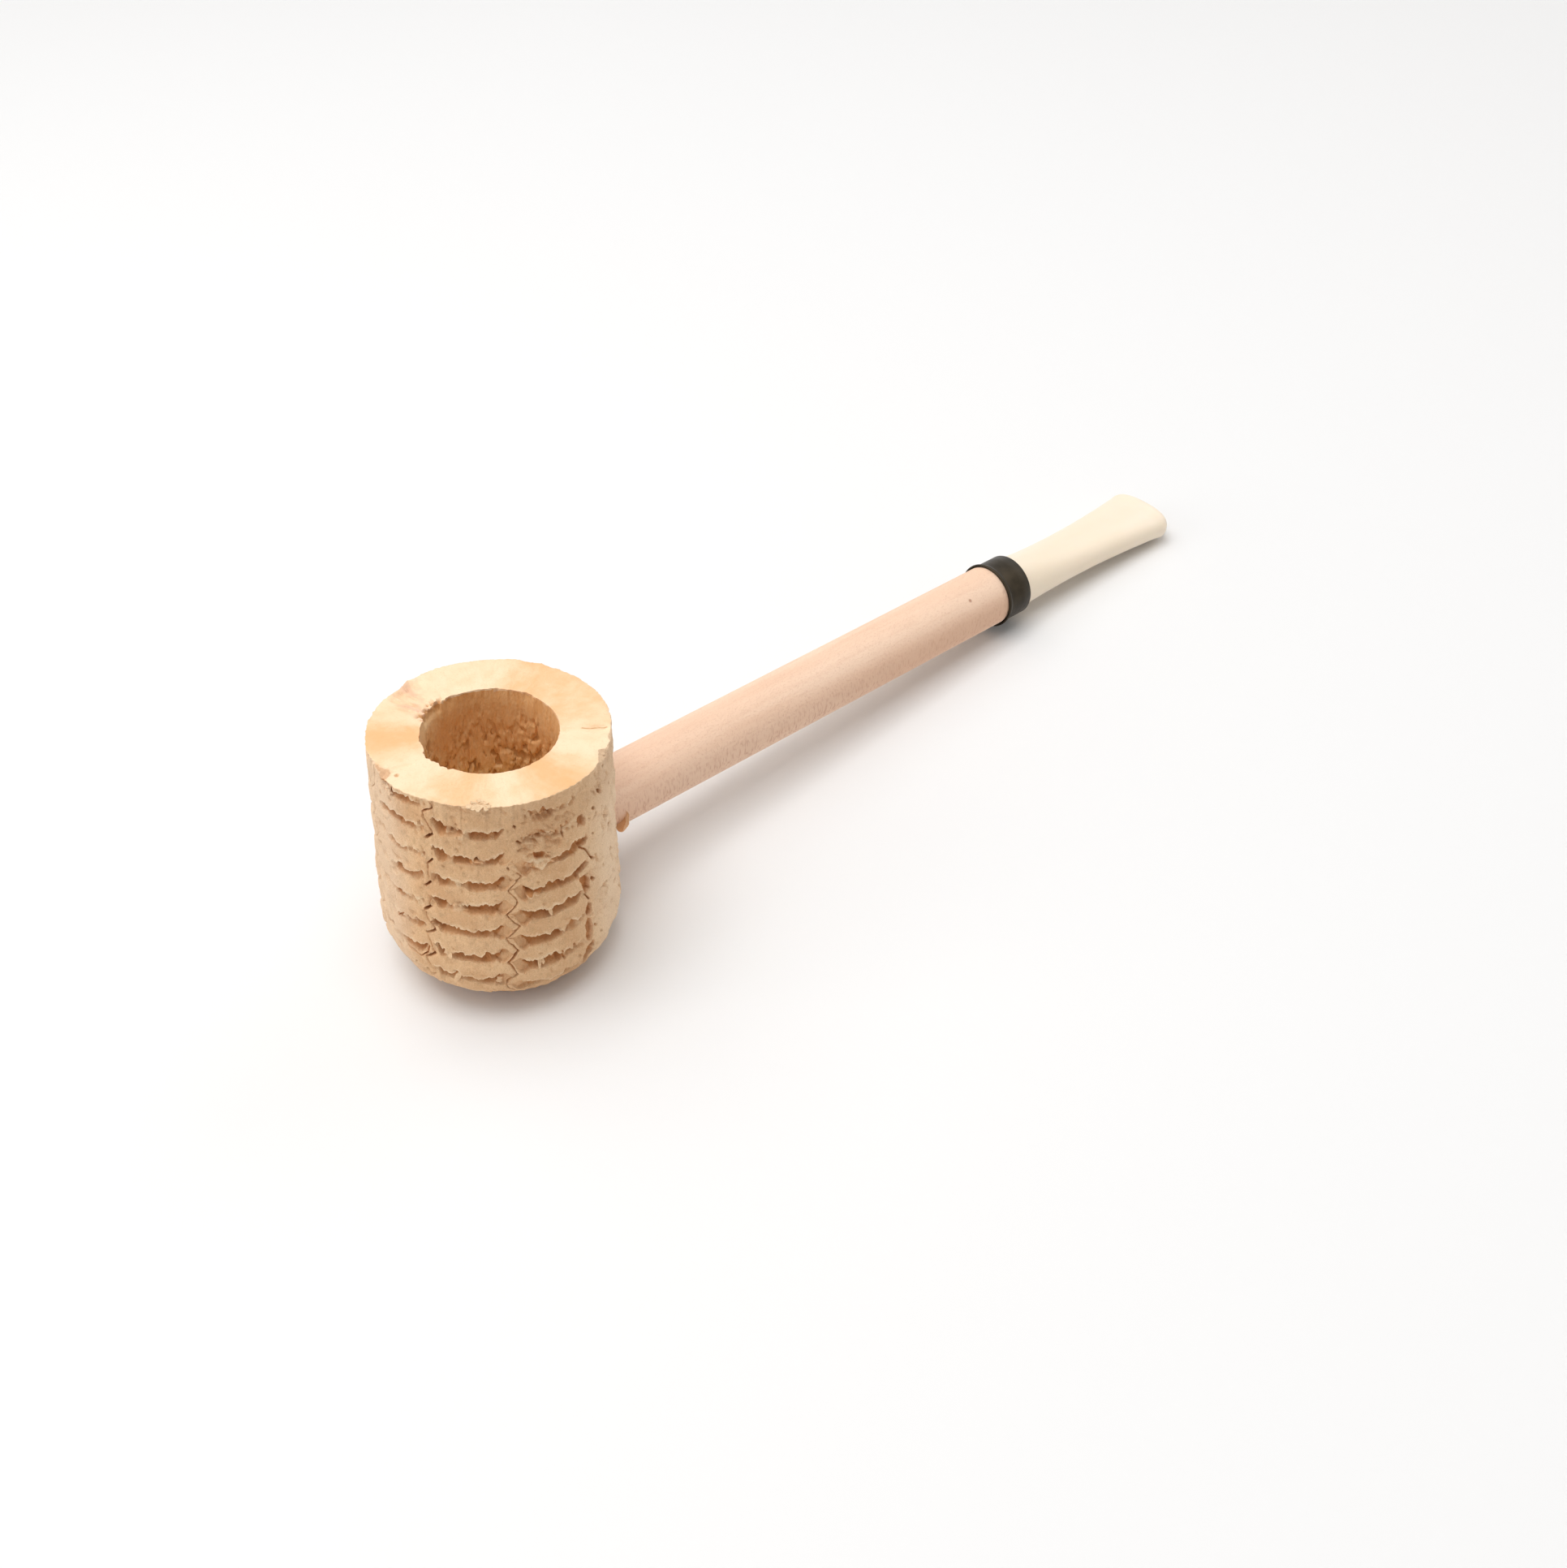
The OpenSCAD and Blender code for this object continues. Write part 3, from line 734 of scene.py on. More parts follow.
def rim_drop(turn, r):
    """How far the rim lies below its sanded plane."""
    drop = 0.04 * bumps(turn / 1.6, r / 3.5, 31, 225) + 0.03 * bumps(turn / 0.8, r / 0.8, 32, 450)
    hole = np.hypot((turn - HOLE_TURN) * HOLE_DEGREE, r - HOLE_R)
    groove = to_line(turn, r, GROOVE) + 0.3 * (bumps(turn / 2, r, 36, 180) - 0.5)
    drop = drop + 0.7 * ease(0.35, 0.15, hole) + 0.12 * ease(0.35, 0.0, groove)
    shreds = ease(0.25, 0.85, bumps(turn / 2.6, r / 3.0, 34, 138)) + 0.5 * bumps(turn / 1.2, r / 1.1, 37, 300)
    torn = ease(BORE_R + 2.2, BORE_R + 0.4, r) * ease(22, 10, apart_by(turn, TORN_EDGE))
    torn = torn * ease(0.4, 0.65, bumps(turn / 2.5, r / 0.45, 38, 144))
    inside = ease(0.0, 1.2, rim_edge(turn) - r)
    return drop + fibrous(turn, r) * inside * 0.5 * shreds + 0.55 * torn


def bore_tear(turn):
    """How far the upper edge of the bore is torn back."""
    still = np.zeros_like(turn)
    tear, ragged = 0.1 * bumps(turn / 3, still, 41, 120), 0.45 + 0.8 * bumps(turn / 2.5, still, 42, 144)
    for at, wide, deep in TEARS:
        tear = np.maximum(tear, deep * ease(wide, 0.4 * wide, apart_by(turn, at)) * ragged)
    return tear


def pith(turn, z):
    """Depth of fibres and flakes in the wall of the bore."""
    fibre = 0.14 * bumps(turn / 5, z / 6, 51, 72) + 0.08 * bumps(turn / 2.5, z / 2, 52, 144)
    warp_x, warp_z = (1.5 * bumps(turn / 3, z / 0.9, seed, 120) for seed in (53, 54))
    layer = bumps(turn / 4 + warp_x, z / 0.95 + warp_z, 55, 90)
    flakes = ease(0.42, 0.5, layer) + 0.8 * ease(0.62, 0.7, layer)
    flakes = flakes + 0.6 * (bumps(turn / 2 + warp_x, z / 0.7 + warp_z, 57, 180) - 0.5)
    return fibre + 0.22 * flakes * ease(34, 26, z + 8 * (bumps(turn / 20, z / 8, 56, 18) - 0.5))


print("tear at the front left:", round(float(bore_tear(np.array([178.0]))[0]), 2), "mm")

# %% [markdown]
# ## Finish of the chaff
# Dried chaff is pale straw with tan clouds and fine fibres. Painted light makes it paler on the far left
# and on the right, and painted shade darkens the top and bottom of its front. Brown lies in the hollows,
# where sandpaper did not reach, and painted shade darkens them further in: the mesh keeps a value on
# each point that says so, and another for the pale torn edges, with painted highlights on crumbs and
# edges. The grain smaller than the mesh is bump.

# %% Chaff
chaff_finish = f = Finish("chaff", Specular_IOR_Level=0.25)
fibres = f.noise(0.35, (1, 1, 2.5), detail=3)
# Painted light: the far left side of the chaff is made paler, where light from the left brightens it.
painted_light_left = (-9.0 - f.x).between(0.0, 6.0) * (f.y + 5.0).between(0.0, 6.0)
# Painted light: the right side of the chaff is made paler, where the fill lamp on the right brightens it.
painted_light_right = (f.x - 2.0).between(0.0, 7.0) * (-4.0 - f.y).between(0.0, 5.0)
# Painted shade: the top and the bottom of the bowl's front are darkened.
painted_shade_ends = (f.z - 26.0).between(0.0, 6.0) + (8.0 - f.z).between(0.0, 6.0)
brown = f.mix(f.noise(1.6).between(0.35, 0.65), (184, 118, 62), (206, 143, 88))
f.ground(f.noise(5, detail=3).between(0.35, 0.7), (232, 191, 147), (222, 176, 131))
f.tint(fibres.between(0.45, 0.75) * 0.3, (200, 154, 108))
f.tint(f.noise(1.3, detail=4).between(0.54, 0.72) * 0.45, (196, 156, 118))
# Pale torn edges and crumbs; on raised crumbs and plate edges this is partly a painted highlight.
f.tint(f.kept("pale") * 0.7, (246, 218, 180))
f.tint(painted_light_left * 0.35, (238, 216, 194))
f.tint(painted_light_right * 0.8, (244, 216, 184))
f.tint(painted_shade_ends * (-6.0 - f.y).between(0.0, 5.0) * 0.3, (200, 156, 114))
f.tint(f.noise(0.16, detail=2).between(0.48, 0.68) * 0.3, (178, 132, 92))
f.tint(f.noise(0.24, detail=2).between(0.56, 0.72) * 0.25, (250, 226, 192))
# Hollows take the brown of unsanded chaff, with painted shade that deepens with their depth.
f.tint(f.kept("hollow").between(0.1, 0.8) * 0.9, brown)
grit = f.relief(f.noise(0.34, detail=5), 0.13)
f.done(0.78 + 0.18 * fibres, f.relief(fibres, 0.04, grit))

# %% [markdown]
# ## Finish of the rim
# The sanded rim is cream with orange sectors, because the woody ring is cut across between the
# columns. A colour ramp around the bowl gives the sectors, with noise so that their borders wander,
# and noise drawn out from the middle gives the streaks.

# %% Sanded rim
# How warm the rim is: turn in degrees, share of orange.
SECTORS = [
    (0, 0.6), (20, 0.7), (35, 0.65), (48, 0.3), (62, 0.25), (90, 0.2), (104, 0.35), (118, 0.3),
    (128, 0.3), (140, 0.8), (152, 0.85), (166, 0.35), (182, 0.1), (200, 0.35), (214, 0.7), (228, 0.6),
    (241, 0.15), (254, 0.5), (272, 0.9), (286, 0.6), (303, 0.1), (318, 0.2), (335, 0.5), (352, 0.6),
]
rim_finish = f = Finish("sanded_rim", Specular_IOR_Level=0.25)
heading = f.maths("ARCTAN2", f.y, f.x) / (2 * math.pi)
heading = f.maths("FRACT", heading + 1.0 + 0.035 * (f.noise(3) - 0.5))
sector = f.node("ValToRGB", {"stops": [(turn / 360, (v, v, v)) for turn, v in SECTORS]}, (heading,))
sector = f.node("SeparateColor", None, (sector,))
flat = f.node("CombineXYZ", None, (f.x, f.y, 0.0))
reach = f.vector("LENGTH", flat, out="Value")
outwards = f.node("CombineXYZ", None, (heading * 55.0, reach * 0.25, 0.0))
streaks = f.noise(1.0, at=outwards, detail=3)
fine = f.noise(0.25, detail=3)
warm = sector + 0.45 * (streaks - 0.5) + 0.7 * (f.noise(2.6, detail=3) - 0.5)
from_band = heading * 360.0 - BAND_TURN + BAND_SLANT * (reach - BAND_R)
in_band = 1.0 - f.maths("ABSOLUTE", from_band).between(5.0, 15.0)
f.ground(warm.between(0.0, 1.0), (250, 223, 188), (241, 187, 135))
f.tint(fine.between(0.52, 0.8) * 0.3, (222, 172, 122))
f.tint(in_band * streaks.between(0.35, 0.7) * 0.75, (232, 186, 158))
f.tint(f.kept("hollow") * (0.7 + 0.5 * fine), (200, 148, 100))
f.done(0.7 + 0.2 * fine, f.relief(fine + streaks, 0.05))

# %% [markdown]
# ## Finish of the bore
# The bore is warm brown pith with upright fibres. Little light reaches down into it, so its colours
# are lighter than they look. Painted light makes it lighter lower down and on its left wall, and
# painted shade darkens the hollows between the flakes.

# %% Pith
pith_finish = f = Finish("pith", Specular_IOR_Level=0.2)
fibres = f.noise(0.5, (1, 1, 7), detail=3)
f.ground(fibres.between(0.3, 0.7), (253, 219, 166), (246, 200, 142))
f.tint(f.noise(1.4, (1, 1, 1.2), detail=5).between(0.45, 0.7) * 0.6, (238, 184, 120))
f.tint(f.noise(0.6, (1, 1, 1.3), detail=4).between(0.54, 0.68) * 0.4, (218, 158, 96))
# Painted light: the lower bore is made lighter.
f.tint((30.0 - f.z).between(2.0, 14.0) * 0.85, (255, 226, 172))
f.tint((f.z - 18.0).between(0.0, 14.0) * 0.5, (218, 150, 88))
# Painted light: the bore's left wall is made lighter.
f.tint((-1.0 - f.x).between(0.0, 5.0) * 0.7, (255, 228, 182))
# Painted shade: darker in the hollows between the flakes.
f.tint(f.kept("hollow").between(0.72, 1.0) * 0.6, (178, 120, 62))
f.done(0.8 + 0.15 * fibres, f.relief(f.noise(0.4, (1, 1, 2), detail=5), 0.18))

# %% [markdown]
# ## The bowl's rings
# Rings run from the middle of the base, round its edge, up the side, over the rim and down the bore to
# its floor. The grid is fine enough for the ragged edges. Where the rim is chipped, the side ends
# lower and a rough chip face joins it to the rim.

# %% Rings of the bowl
TURNS = 840
CHAFF, RIM, PITH = 0, 1, 2  # which finish a ring has
EDGE_X = LOW_R - BASE_ROUND
FULL_SIDE, WHOLE_EDGE = 305, 107  # turns where the foot bulges and where the rim's edge isn't chipped down
turn = np.arange(TURNS) * 360 / TURNS
cos_t, sin_t = np.cos(np.radians(turn)), np.sin(np.radians(turn))
edge, tear = rim_edge(turn), bore_tear(turn)
edge_drop = np.clip(0.75 * (RIM_R - 0.15 - edge), 0, 2.2) * (apart_by(turn, WHOLE_EDGE) > 16)
bowl_rows, bowl_zone = [], []


def level(value):
    return np.full(TURNS, value)


def add_ring(r, z, zone):
    bowl_rows.append(np.stack((r * cos_t, r * sin_t, np.broadcast_to(z, (TURNS,))), 1))
    bowl_zone.append(zone)


def lopsided(climb):
    """The cob is not quite round at its foot: fuller towards the right of the picture."""
    return 0.2 * np.cos(np.radians(turn - FULL_SIDE)) * float(ease(20, 8, climb))


for r in (0.4, 3.0, 6.0):  # under the base
    add_ring(level(r), 0.12 * around(turn, level(r), 2.0, 61), CHAFF)
for climb in np.arange(BASE_ROUND - BASE_ROUND * math.pi / 2, BASE_ROUND, 0.14):  # round its edge
    angle = (BASE_ROUND - climb) / BASE_ROUND
    sunk = chaff(turn, level(climb))[0] * (1 - 0.7 * ease(0.5, -3.5, climb))
    out_by = BASE_ROUND - sunk + lopsided(climb) + 0.25 * ease(7, 2, climb)
    add_ring(EDGE_X + out_by * math.cos(angle), BASE_ROUND - out_by * math.sin(angle), CHAFF)
for climb in np.arange(BASE_ROUND, BOWL_H - 0.2, 0.13):  # up the side
    wide = LOW_R + (RIM_R - LOW_R) * (climb - BASE_ROUND) / (BOWL_H - BASE_ROUND)
    lower = edge_drop * max(0, (climb - (BOWL_H - 6)) / 6) ** 1.5
    side_r = wide + lopsided(climb) - chaff(turn, level(climb))[0] * (1 - 0.6 * ease(35, 36.2, climb))
    side_r = side_r + (edge - RIM_R) * (edge_drop == 0) * ease(30, 36, climb)
    add_ring(side_r, climb - lower, CHAFF)
for share in np.linspace(0.1, 0.9, 7):  # over the chip faces
    rough = edge_drop * 0.9 * (around(turn, level(40 + 2 * share), 0.6, 63) - 0.5) * math.sin(math.pi * share)
    z = (BOWL_H - 0.2 - edge_drop) * (1 - share) + (BOWL_H - 0.05) * share
    add_ring(side_r * (1 - share) + edge * share - rough, z, CHAFF)
for share in np.linspace(0, 1, 40) ** 1.5:  # across the rim
    r = (edge - 0.06) * (1 - share) + (BORE_R + 0.12 + tear) * share
    add_ring(r, BOWL_H - rim_drop(turn, r), RIM)
for z in np.arange(BOWL_H - 0.25, BORE_FLOOR + BORE_ROUND, -0.3):  # down the bore
    torn_back = tear * ease(BOWL_H - 2.4, BOWL_H, z)
    add_ring(BORE_R + torn_back + pith(turn, level(z)), z - 0.6 * tear * ease(BOWL_H - 2, BOWL_H, z), PITH)
for angle in np.linspace(0.2, math.pi / 2, 6):  # into its floor
    r = BORE_R - BORE_ROUND * (1 - math.cos(angle))
    add_ring(level(r), BORE_FLOOR + BORE_ROUND * (1 - math.sin(angle)), PITH)
for r in (5.0, 2.5, 0.4):
    add_ring(level(r), BORE_FLOOR + 0.3 * around(turn, level(3 * r), 2.2, 62), PITH)
print("rings:", len(bowl_rows), "points:", len(bowl_rows) * TURNS)

# %% [markdown]
# ## The bowl as a closed mesh
# Two poles close the base and the floor of the bore by fans of triangles. Each face takes one of three
# finishes. Where the leaning cob would pass below the floor of the room, it is pressed flat.

# %% The bowl's mesh
poles = np.array(((0, 0, 0.06), (0, 0, BORE_FLOOR + 0.1)))
bowl_points = np.concatenate(bowl_rows + [poles])
rows = len(bowl_rows)
k = np.arange(TURNS)
nxt, last, pole = (k + 1) % TURNS, (rows - 1) * TURNS, rows * TURNS
low_fan = np.stack((nxt, k, level(pole)), 1)
high_fan = np.stack((last + k, last + nxt, level(pole + 1)), 1)
bowl_faces = [*ring_faces(rows, TURNS, False), *low_fan, *high_fan]
bowl_mesh = new_mesh("cob_bowl_chaff", bowl_points, bowl_faces, pressed=True)
zones = np.concatenate((np.repeat(bowl_zone[:-1], TURNS), level(CHAFF), level(PITH)))
bowl_mesh.polygons.foreach_set("material_index", zones.astype(np.int32))
for finish in (chaff_finish, rim_finish, pith_finish):
    bowl_mesh.materials.append(finish.material)
print("bowl before thinning:", len(bowl_mesh.polygons))

# %% [markdown]
# ## Thinning and drilling
# The grid has far more faces than a plain stretch of cob needs. The Decimate modifier takes points away
# where that changes the surface least, first only in a chosen group: the side and the part of the bore
# that the photograph doesn't show, and the underside. A second pass thins everything. A Boolean then
# drills the hole for the shank. The modifiers run on a scratch object, so the piece carries none.


# %% Thin and drill the bowl
def drill(name, radius, start, end, count=96):
    """A plain round bar along the shank's axis, used only as a tool."""
    bar = np.concatenate([shank_ring(full_turn(count), x, radius) for x in (start, end)])
    return put(name, new_mesh(name, bar, capped_faces(2, count)))


def worked(mesh, kind, chosen=(), **settings):
    """The mesh after one modifier; the chosen points form a group."""
    scratch = put("scratch", mesh)
    if len(chosen):
        scratch.vertex_groups.new(name="chosen").add(chosen.tolist(), 1.0, "REPLACE")
    modifier = scratch.modifiers.new(kind, kind)
    for key, value in settings.items():
        setattr(modifier, key, value)
    bpy.context.view_layer.update()
    result = bpy.data.meshes.new_from_object(scratch.evaluated_get(bpy.context.evaluated_depsgraph_get()))
    bpy.data.objects.remove(scratch)
    name = mesh.name
    bpy.data.meshes.remove(mesh)
    result.name = name
    return result


FIRST_THINNING, SECOND_THINNING = 0.5, 0.49  # shares of the triangles that stay
FRONT, BORE_BACK = 243, 55  # turns that the camera sees, outside and in the bore
zone, turns, heights = np.repeat(bowl_zone, TURNS), np.tile(turn, rows), bowl_points[:-2, 2]
plain_side = (zone == CHAFF) & ((apart_by(turns, FRONT) > 80) | (heights < 1.2))
plain_bore = (zone == PITH) & ((apart_by(turns, BORE_BACK) > 85) | (heights < 12))
bowl_mesh = worked(bowl_mesh, "DECIMATE", np.flatnonzero(plain_side | plain_bore), ratio=FIRST_THINNING,
                   use_collapse_triangulate=True, vertex_group="chosen")
print("bowl after the first thinning:", len(bowl_mesh.polygons))
bowl_mesh = worked(bowl_mesh, "DECIMATE", ratio=SECOND_THINNING, use_collapse_triangulate=True)
bar = drill("drill_bar", SHANK_R + 0.04, 2.0, 24.0)
bowl_mesh = worked(bowl_mesh, "BOOLEAN", operation="DIFFERENCE", object=bar, solver="EXACT")
bpy.data.objects.remove(bar)
print("bowl after thinning and drilling:", len(bowl_mesh.polygons))

# %% [markdown]
# ## How dark the hollows are
# The slots of a real cob show brown where sandpaper did not reach, and painted shade darkens their
# deeper parts. Each point of the thinned mesh asks the chaff function again how dark and pale it is, and
# keeps the answers for the finish. In the bore the depth of the flakes takes that place, and on the rim
# its broken parts.

# %% Darkness of the hollows
room = np.empty(3 * len(bowl_mesh.vertices))
bowl_mesh.vertices.foreach_get("co", room)
at_x, at_y, at_z = ((room.reshape(-1, 3) * 1000 - base_mm) @ pipe_axes.T).T
at_r, at_turn = np.hypot(at_x, at_y), np.mod(np.degrees(np.arctan2(at_y, at_x)), 360)
bend = np.arctan2(BASE_ROUND - at_z, at_r - EDGE_X)
at_climb = np.where(at_z < BASE_ROUND, BASE_ROUND - BASE_ROUND * bend, at_z)
_, hollow, pale = chaff(at_turn, at_climb)
at_edge = rim_edge(at_turn) - 0.2
side_top = BOWL_H - 0.15 - edge_drop[(at_turn / 360 * TURNS).astype(int) % TURNS]
SIDE_FROM, BORE_TO, CHIPS_FROM, LEFT_CHIP = 12.2, 10.4, 30, 173  # two radii, a height and a turn
is_side = (at_r > SIDE_FROM) & (at_z < side_top)
is_bore = (at_r < BORE_TO) & (at_z < BOWL_H - 0.4)
is_chip = (at_r > at_edge) & (at_z > CHIPS_FROM) & ~is_side
left_chip = is_chip * ease(9, 5, apart_by(at_turn, LEFT_CHIP))
broken = 0.6 * ease(0.15, 0.6, BOWL_H - at_z) * (at_r > BORE_R + 0.3) * (at_r < at_edge)
# In the bore, painted shade: darker with the depth of the flakes.
hollow = np.where(is_side, hollow, np.where(is_bore, np.clip((at_r - BORE_R) / 0.5, 0, 1), broken))
pale = np.where(is_chip, 0.8 - 0.7 * left_chip, pale * is_side)
keep_on_points(bowl_mesh, hollow=hollow + 0.4 * left_chip, pale=pale)
print("dark share of the bowl's points:", round(float((hollow > 0.5).mean()), 3))
add_piece(bowl_mesh, (), "pipe", "cob_bowl", sharp=50)

# %% [markdown]
# ## Loose chaff
# Drilling and sanding leave slivers that hang from the plates, a pale tuft and crumbs on the rim and
# one torn leaf where the shank enters. A sliver is a thin strip that curls away from its root, and the
# tuft is a handful of them lying on the rim. All are one piece with the chaff's finish, and the values
# on their points make them pale or brown.


# %% Slivers and crumbs
UP = np.array((0, 0, 1.0))


def ways(turn):
    """The ways outwards and around at a turn of the bowl."""
    a = math.radians(turn)
    return np.array((math.cos(a), math.sin(a), 0)), np.array((-math.sin(a), math.cos(a), 0))


def side_spot(turn, climb):
    """A point on the side of the bowl, with the ways out, up and around from it."""
    flat_out, aside = ways(turn)
    bend = max(0, (BASE_ROUND - climb) / BASE_ROUND)
    out, up = flat_out * math.cos(bend) - UP * math.sin(bend), flat_out * math.sin(bend) + UP * math.cos(bend)
    wide = LOW_R + (RIM_R - LOW_R) * max(0, climb - BASE_ROUND) / (BOWL_H - BASE_ROUND)
    foot = flat_out * EDGE_X + UP * BASE_ROUND + out * BASE_ROUND
    return (foot if bend else flat_out * wide + UP * climb), out, up, aside


def rim_spot(turn, r):
    """A point on the rim with the ways up from it, outwards and around."""
    flat_out, aside = ways(turn)
    return flat_out * r + UP * (BOWL_H + 0.15), UP, flat_out, aside


def sliver(spot, length, width, heading, lift, thick=0.12):
    """Rows of four points for a strip that curls outwards; heading 0 is up, 90 to the right."""
    root, out, up, aside = spot
    way = up * math.cos(math.radians(heading)) + aside * math.sin(math.radians(heading))
    side, skin = np.cross(out, way) * width / 2, out * thick / 2
    strip = []
    for t in np.linspace(0, 1, 6):
        middle = root - 0.12 * out + way * length * t + out * lift * t * t
        frayed = 1 + 0.3 * math.sin(8 * t + 40 * length)
        half = side * (0.75 + 0.4 * t) * frayed * (1 - 0.6 * max(0, 5 * t - 4))
        strip += [middle - half + skin, middle + half + skin, middle + half - skin, middle - half - skin]
    return np.array(strip)


def crumb(spot, out_by, size, seed):
    """Rings of points for one lumpy crumb, a little longer around the bowl than it is high."""
    root, out, up, aside = spot
    lump_rows = []
    for i, latitude in enumerate(np.linspace(-1.45, 1.45, 7)):
        for k, a in enumerate(full_turn(10)):
            lump = size * (0.6 + 0.8 * float(dice(k // 2 + 5 * (i // 2), seed, 82)))
            in_out, across = (lump * wave(a) * math.cos(latitude) for wave in (math.cos, math.sin))
            up_by = up * 0.75 * lump * math.sin(latitude)
            lump_rows.append(root + out * (out_by + 0.6 * in_out) + aside * 1.2 * across + up_by)
    return np.array(lump_rows)


# Turn, radius or height, length, width, heading, lift.
TUFT = [
    (225.6, 15.5, 1.0, 0.7, -45, -0.15), (226.8, 15.6, 0.9, 0.8, -20, -0.25),
    (228.0, 15.5, 1.2, 0.8, 5, -0.3), (229.2, 15.6, 0.9, 0.8, -10, -0.2),
    (230.4, 15.5, 1.1, 0.7, 30, -0.3), (231.6, 15.6, 0.8, 0.6, 50, -0.1),
    (227.4, 15.3, 0.8, 0.5, -80, 0.25), (229.8, 15.3, 0.9, 0.5, 75, 0.2),
    (228.6, 15.4, 0.7, 0.9, 160, 0.15),
]
SLIVERS = [
    (252.6, 9.8, 2.0, 0.5, 190, 0.45), (253.6, 9.7, 1.3, 0.35, 182, 0.4),
    (207.5, 10.7, 1.3, 0.9, 110, 0.4), (214.6, 7.3, 2.0, 0.7, 205, 0.6),
    (258.2, 18.2, 1.8, 0.4, 172, 0.3), (233.0, 6.9, 0.8, 0.7, 190, 0.3),
    (179.5, 35.9, 1.7, 0.9, 150, 0.5), (60.0, 16.0, 1.8, 0.7, 170, 0.4),
    (100.0, 20.0, 1.4, 0.8, 190, 0.4), (30.0, 11.0, 1.6, 0.7, 185, 0.5),
    (140.0, 14.0, 1.4, 0.7, 170, 0.4),
]
# Turn, height, distance out from the side, size.
CRUMBS = [
    (226.4, 36.3, -0.7, 0.3), (228.2, 36.35, -0.8, 0.35), (229.8, 36.35, -0.7, 0.3),
    (180.4, 35.3, 0.1, 0.3), (182.0, 35.0, 0.15, 0.25), (183.2, 34.8, 0.1, 0.2),
]
strip_faces, crumb_faces = capped_faces(6, 4), capped_faces(7, 10)
loose = [(sliver(rim_spot(turn, r), *shape), strip_faces, 1.4) for turn, r, *shape in TUFT]
loose += [(sliver(side_spot(turn, z), *shape), strip_faces, 0.35) for turn, z, *shape in SLIVERS]
for n, (turn, z, *shape) in enumerate(CRUMBS):
    loose.append((crumb(side_spot(turn, z), *shape, n), crumb_faces, 0.7))
print("slivers and crumbs:", len(loose))

# %% [markdown]
# ## The torn leaf
# Where the drill came out, a scrap of husk still hangs beside the shank. It is a cupped oval sheet: a
# grid of points for each of its two faces, joined along the border. Its hollow is brown.

# %% Torn leaf and the loose piece
LEAF_AT, LEAF_W, LEAF_H, LEAF_N = np.array((17.85, -5.35, 14.35)), 2.5, 3.3, 16
CUP, LEAF_T = 0.9, 0.16
leaf_out, leaf_up = np.array((-0.35, -0.72, 0.6)), np.array((0.25, 0.1, 1.0))
leaf_out = leaf_out / np.linalg.norm(leaf_out)
leaf_up = leaf_up - leaf_out * np.dot(leaf_out, leaf_up)
leaf_up = leaf_up / np.linalg.norm(leaf_up)
leaf_right = np.cross(leaf_up, leaf_out)
leaf_points = []
for face in (0, 1):
    for step in np.linspace(0.05, 0.95, LEAF_N):
        v, bulge = (1 - math.cos(math.pi * step)) / 2, math.sin(math.pi * step)
        for u in np.linspace(-1, 1, LEAF_N):
            half = LEAF_W / 2 * bulge * (0.8 + 0.25 * v + 0.07 * math.sin(14 * v + 3 * u))
            sunk = CUP * (1 - u**4) * bulge**0.8 + LEAF_T * face
            on_plane = LEAF_AT + leaf_right * u * half + leaf_up * (v - 0.5) * LEAF_H
            leaf_points.append(on_plane - leaf_out * sunk)
back = LEAF_N * LEAF_N
grid = np.arange(back).reshape(LEAF_N, LEAF_N)
front = np.stack((grid[:-1, :-1], grid[:-1, 1:], grid[1:, 1:], grid[1:, :-1]), -1).reshape(-1, 4)
border = np.concatenate((grid[0], grid[1:, -1], grid[-1, -2::-1], grid[-2:0:-1, 0]))
after = np.roll(border, -1)
hem = np.stack((after, border, border + back, after + back), 1)
loose.append((np.array(leaf_points), np.concatenate((front, back + front[:, ::-1], hem)), 1.0))
leaf_brown = np.zeros((2, LEAF_N, LEAF_N))
leaf_brown[0, 1:-4, 1:-3] = 0.6

points, faces, pale = [], [], []
for part, part_faces, part_pale in loose:
    start = sum(map(len, points))
    points.append(part)
    faces += [np.array(face) + start for face in part_faces]
    pale.append(np.full(len(part), part_pale))
loose_mesh = new_mesh("loose_chaff", np.concatenate(points), faces)
hollow = np.concatenate((np.zeros(start), leaf_brown.ravel()))
keep_on_points(loose_mesh, hollow=hollow, pale=np.concatenate(pale))
add_piece(loose_mesh, (chaff_finish,), "pipe", sharp=60)

# %% [markdown]
# ## The shank
# A beech dowel. Its inner end follows the wall of the bore, the outer end is turned down for the
# ferrule, and it is bored for the draught, the filter and the tenon. Beech shows its rays as short
# dark dashes on one side and as dots on the other. That comes by itself when the noise is solid and
# drawn out along one direction across the dowel.


# %% Shank mesh
def coped(turn, r):
    """Where a ring of radius r meets the wall of the bore."""
    return np.sqrt((BORE_R + 0.02) ** 2 - (r * np.cos(turn)) ** 2)


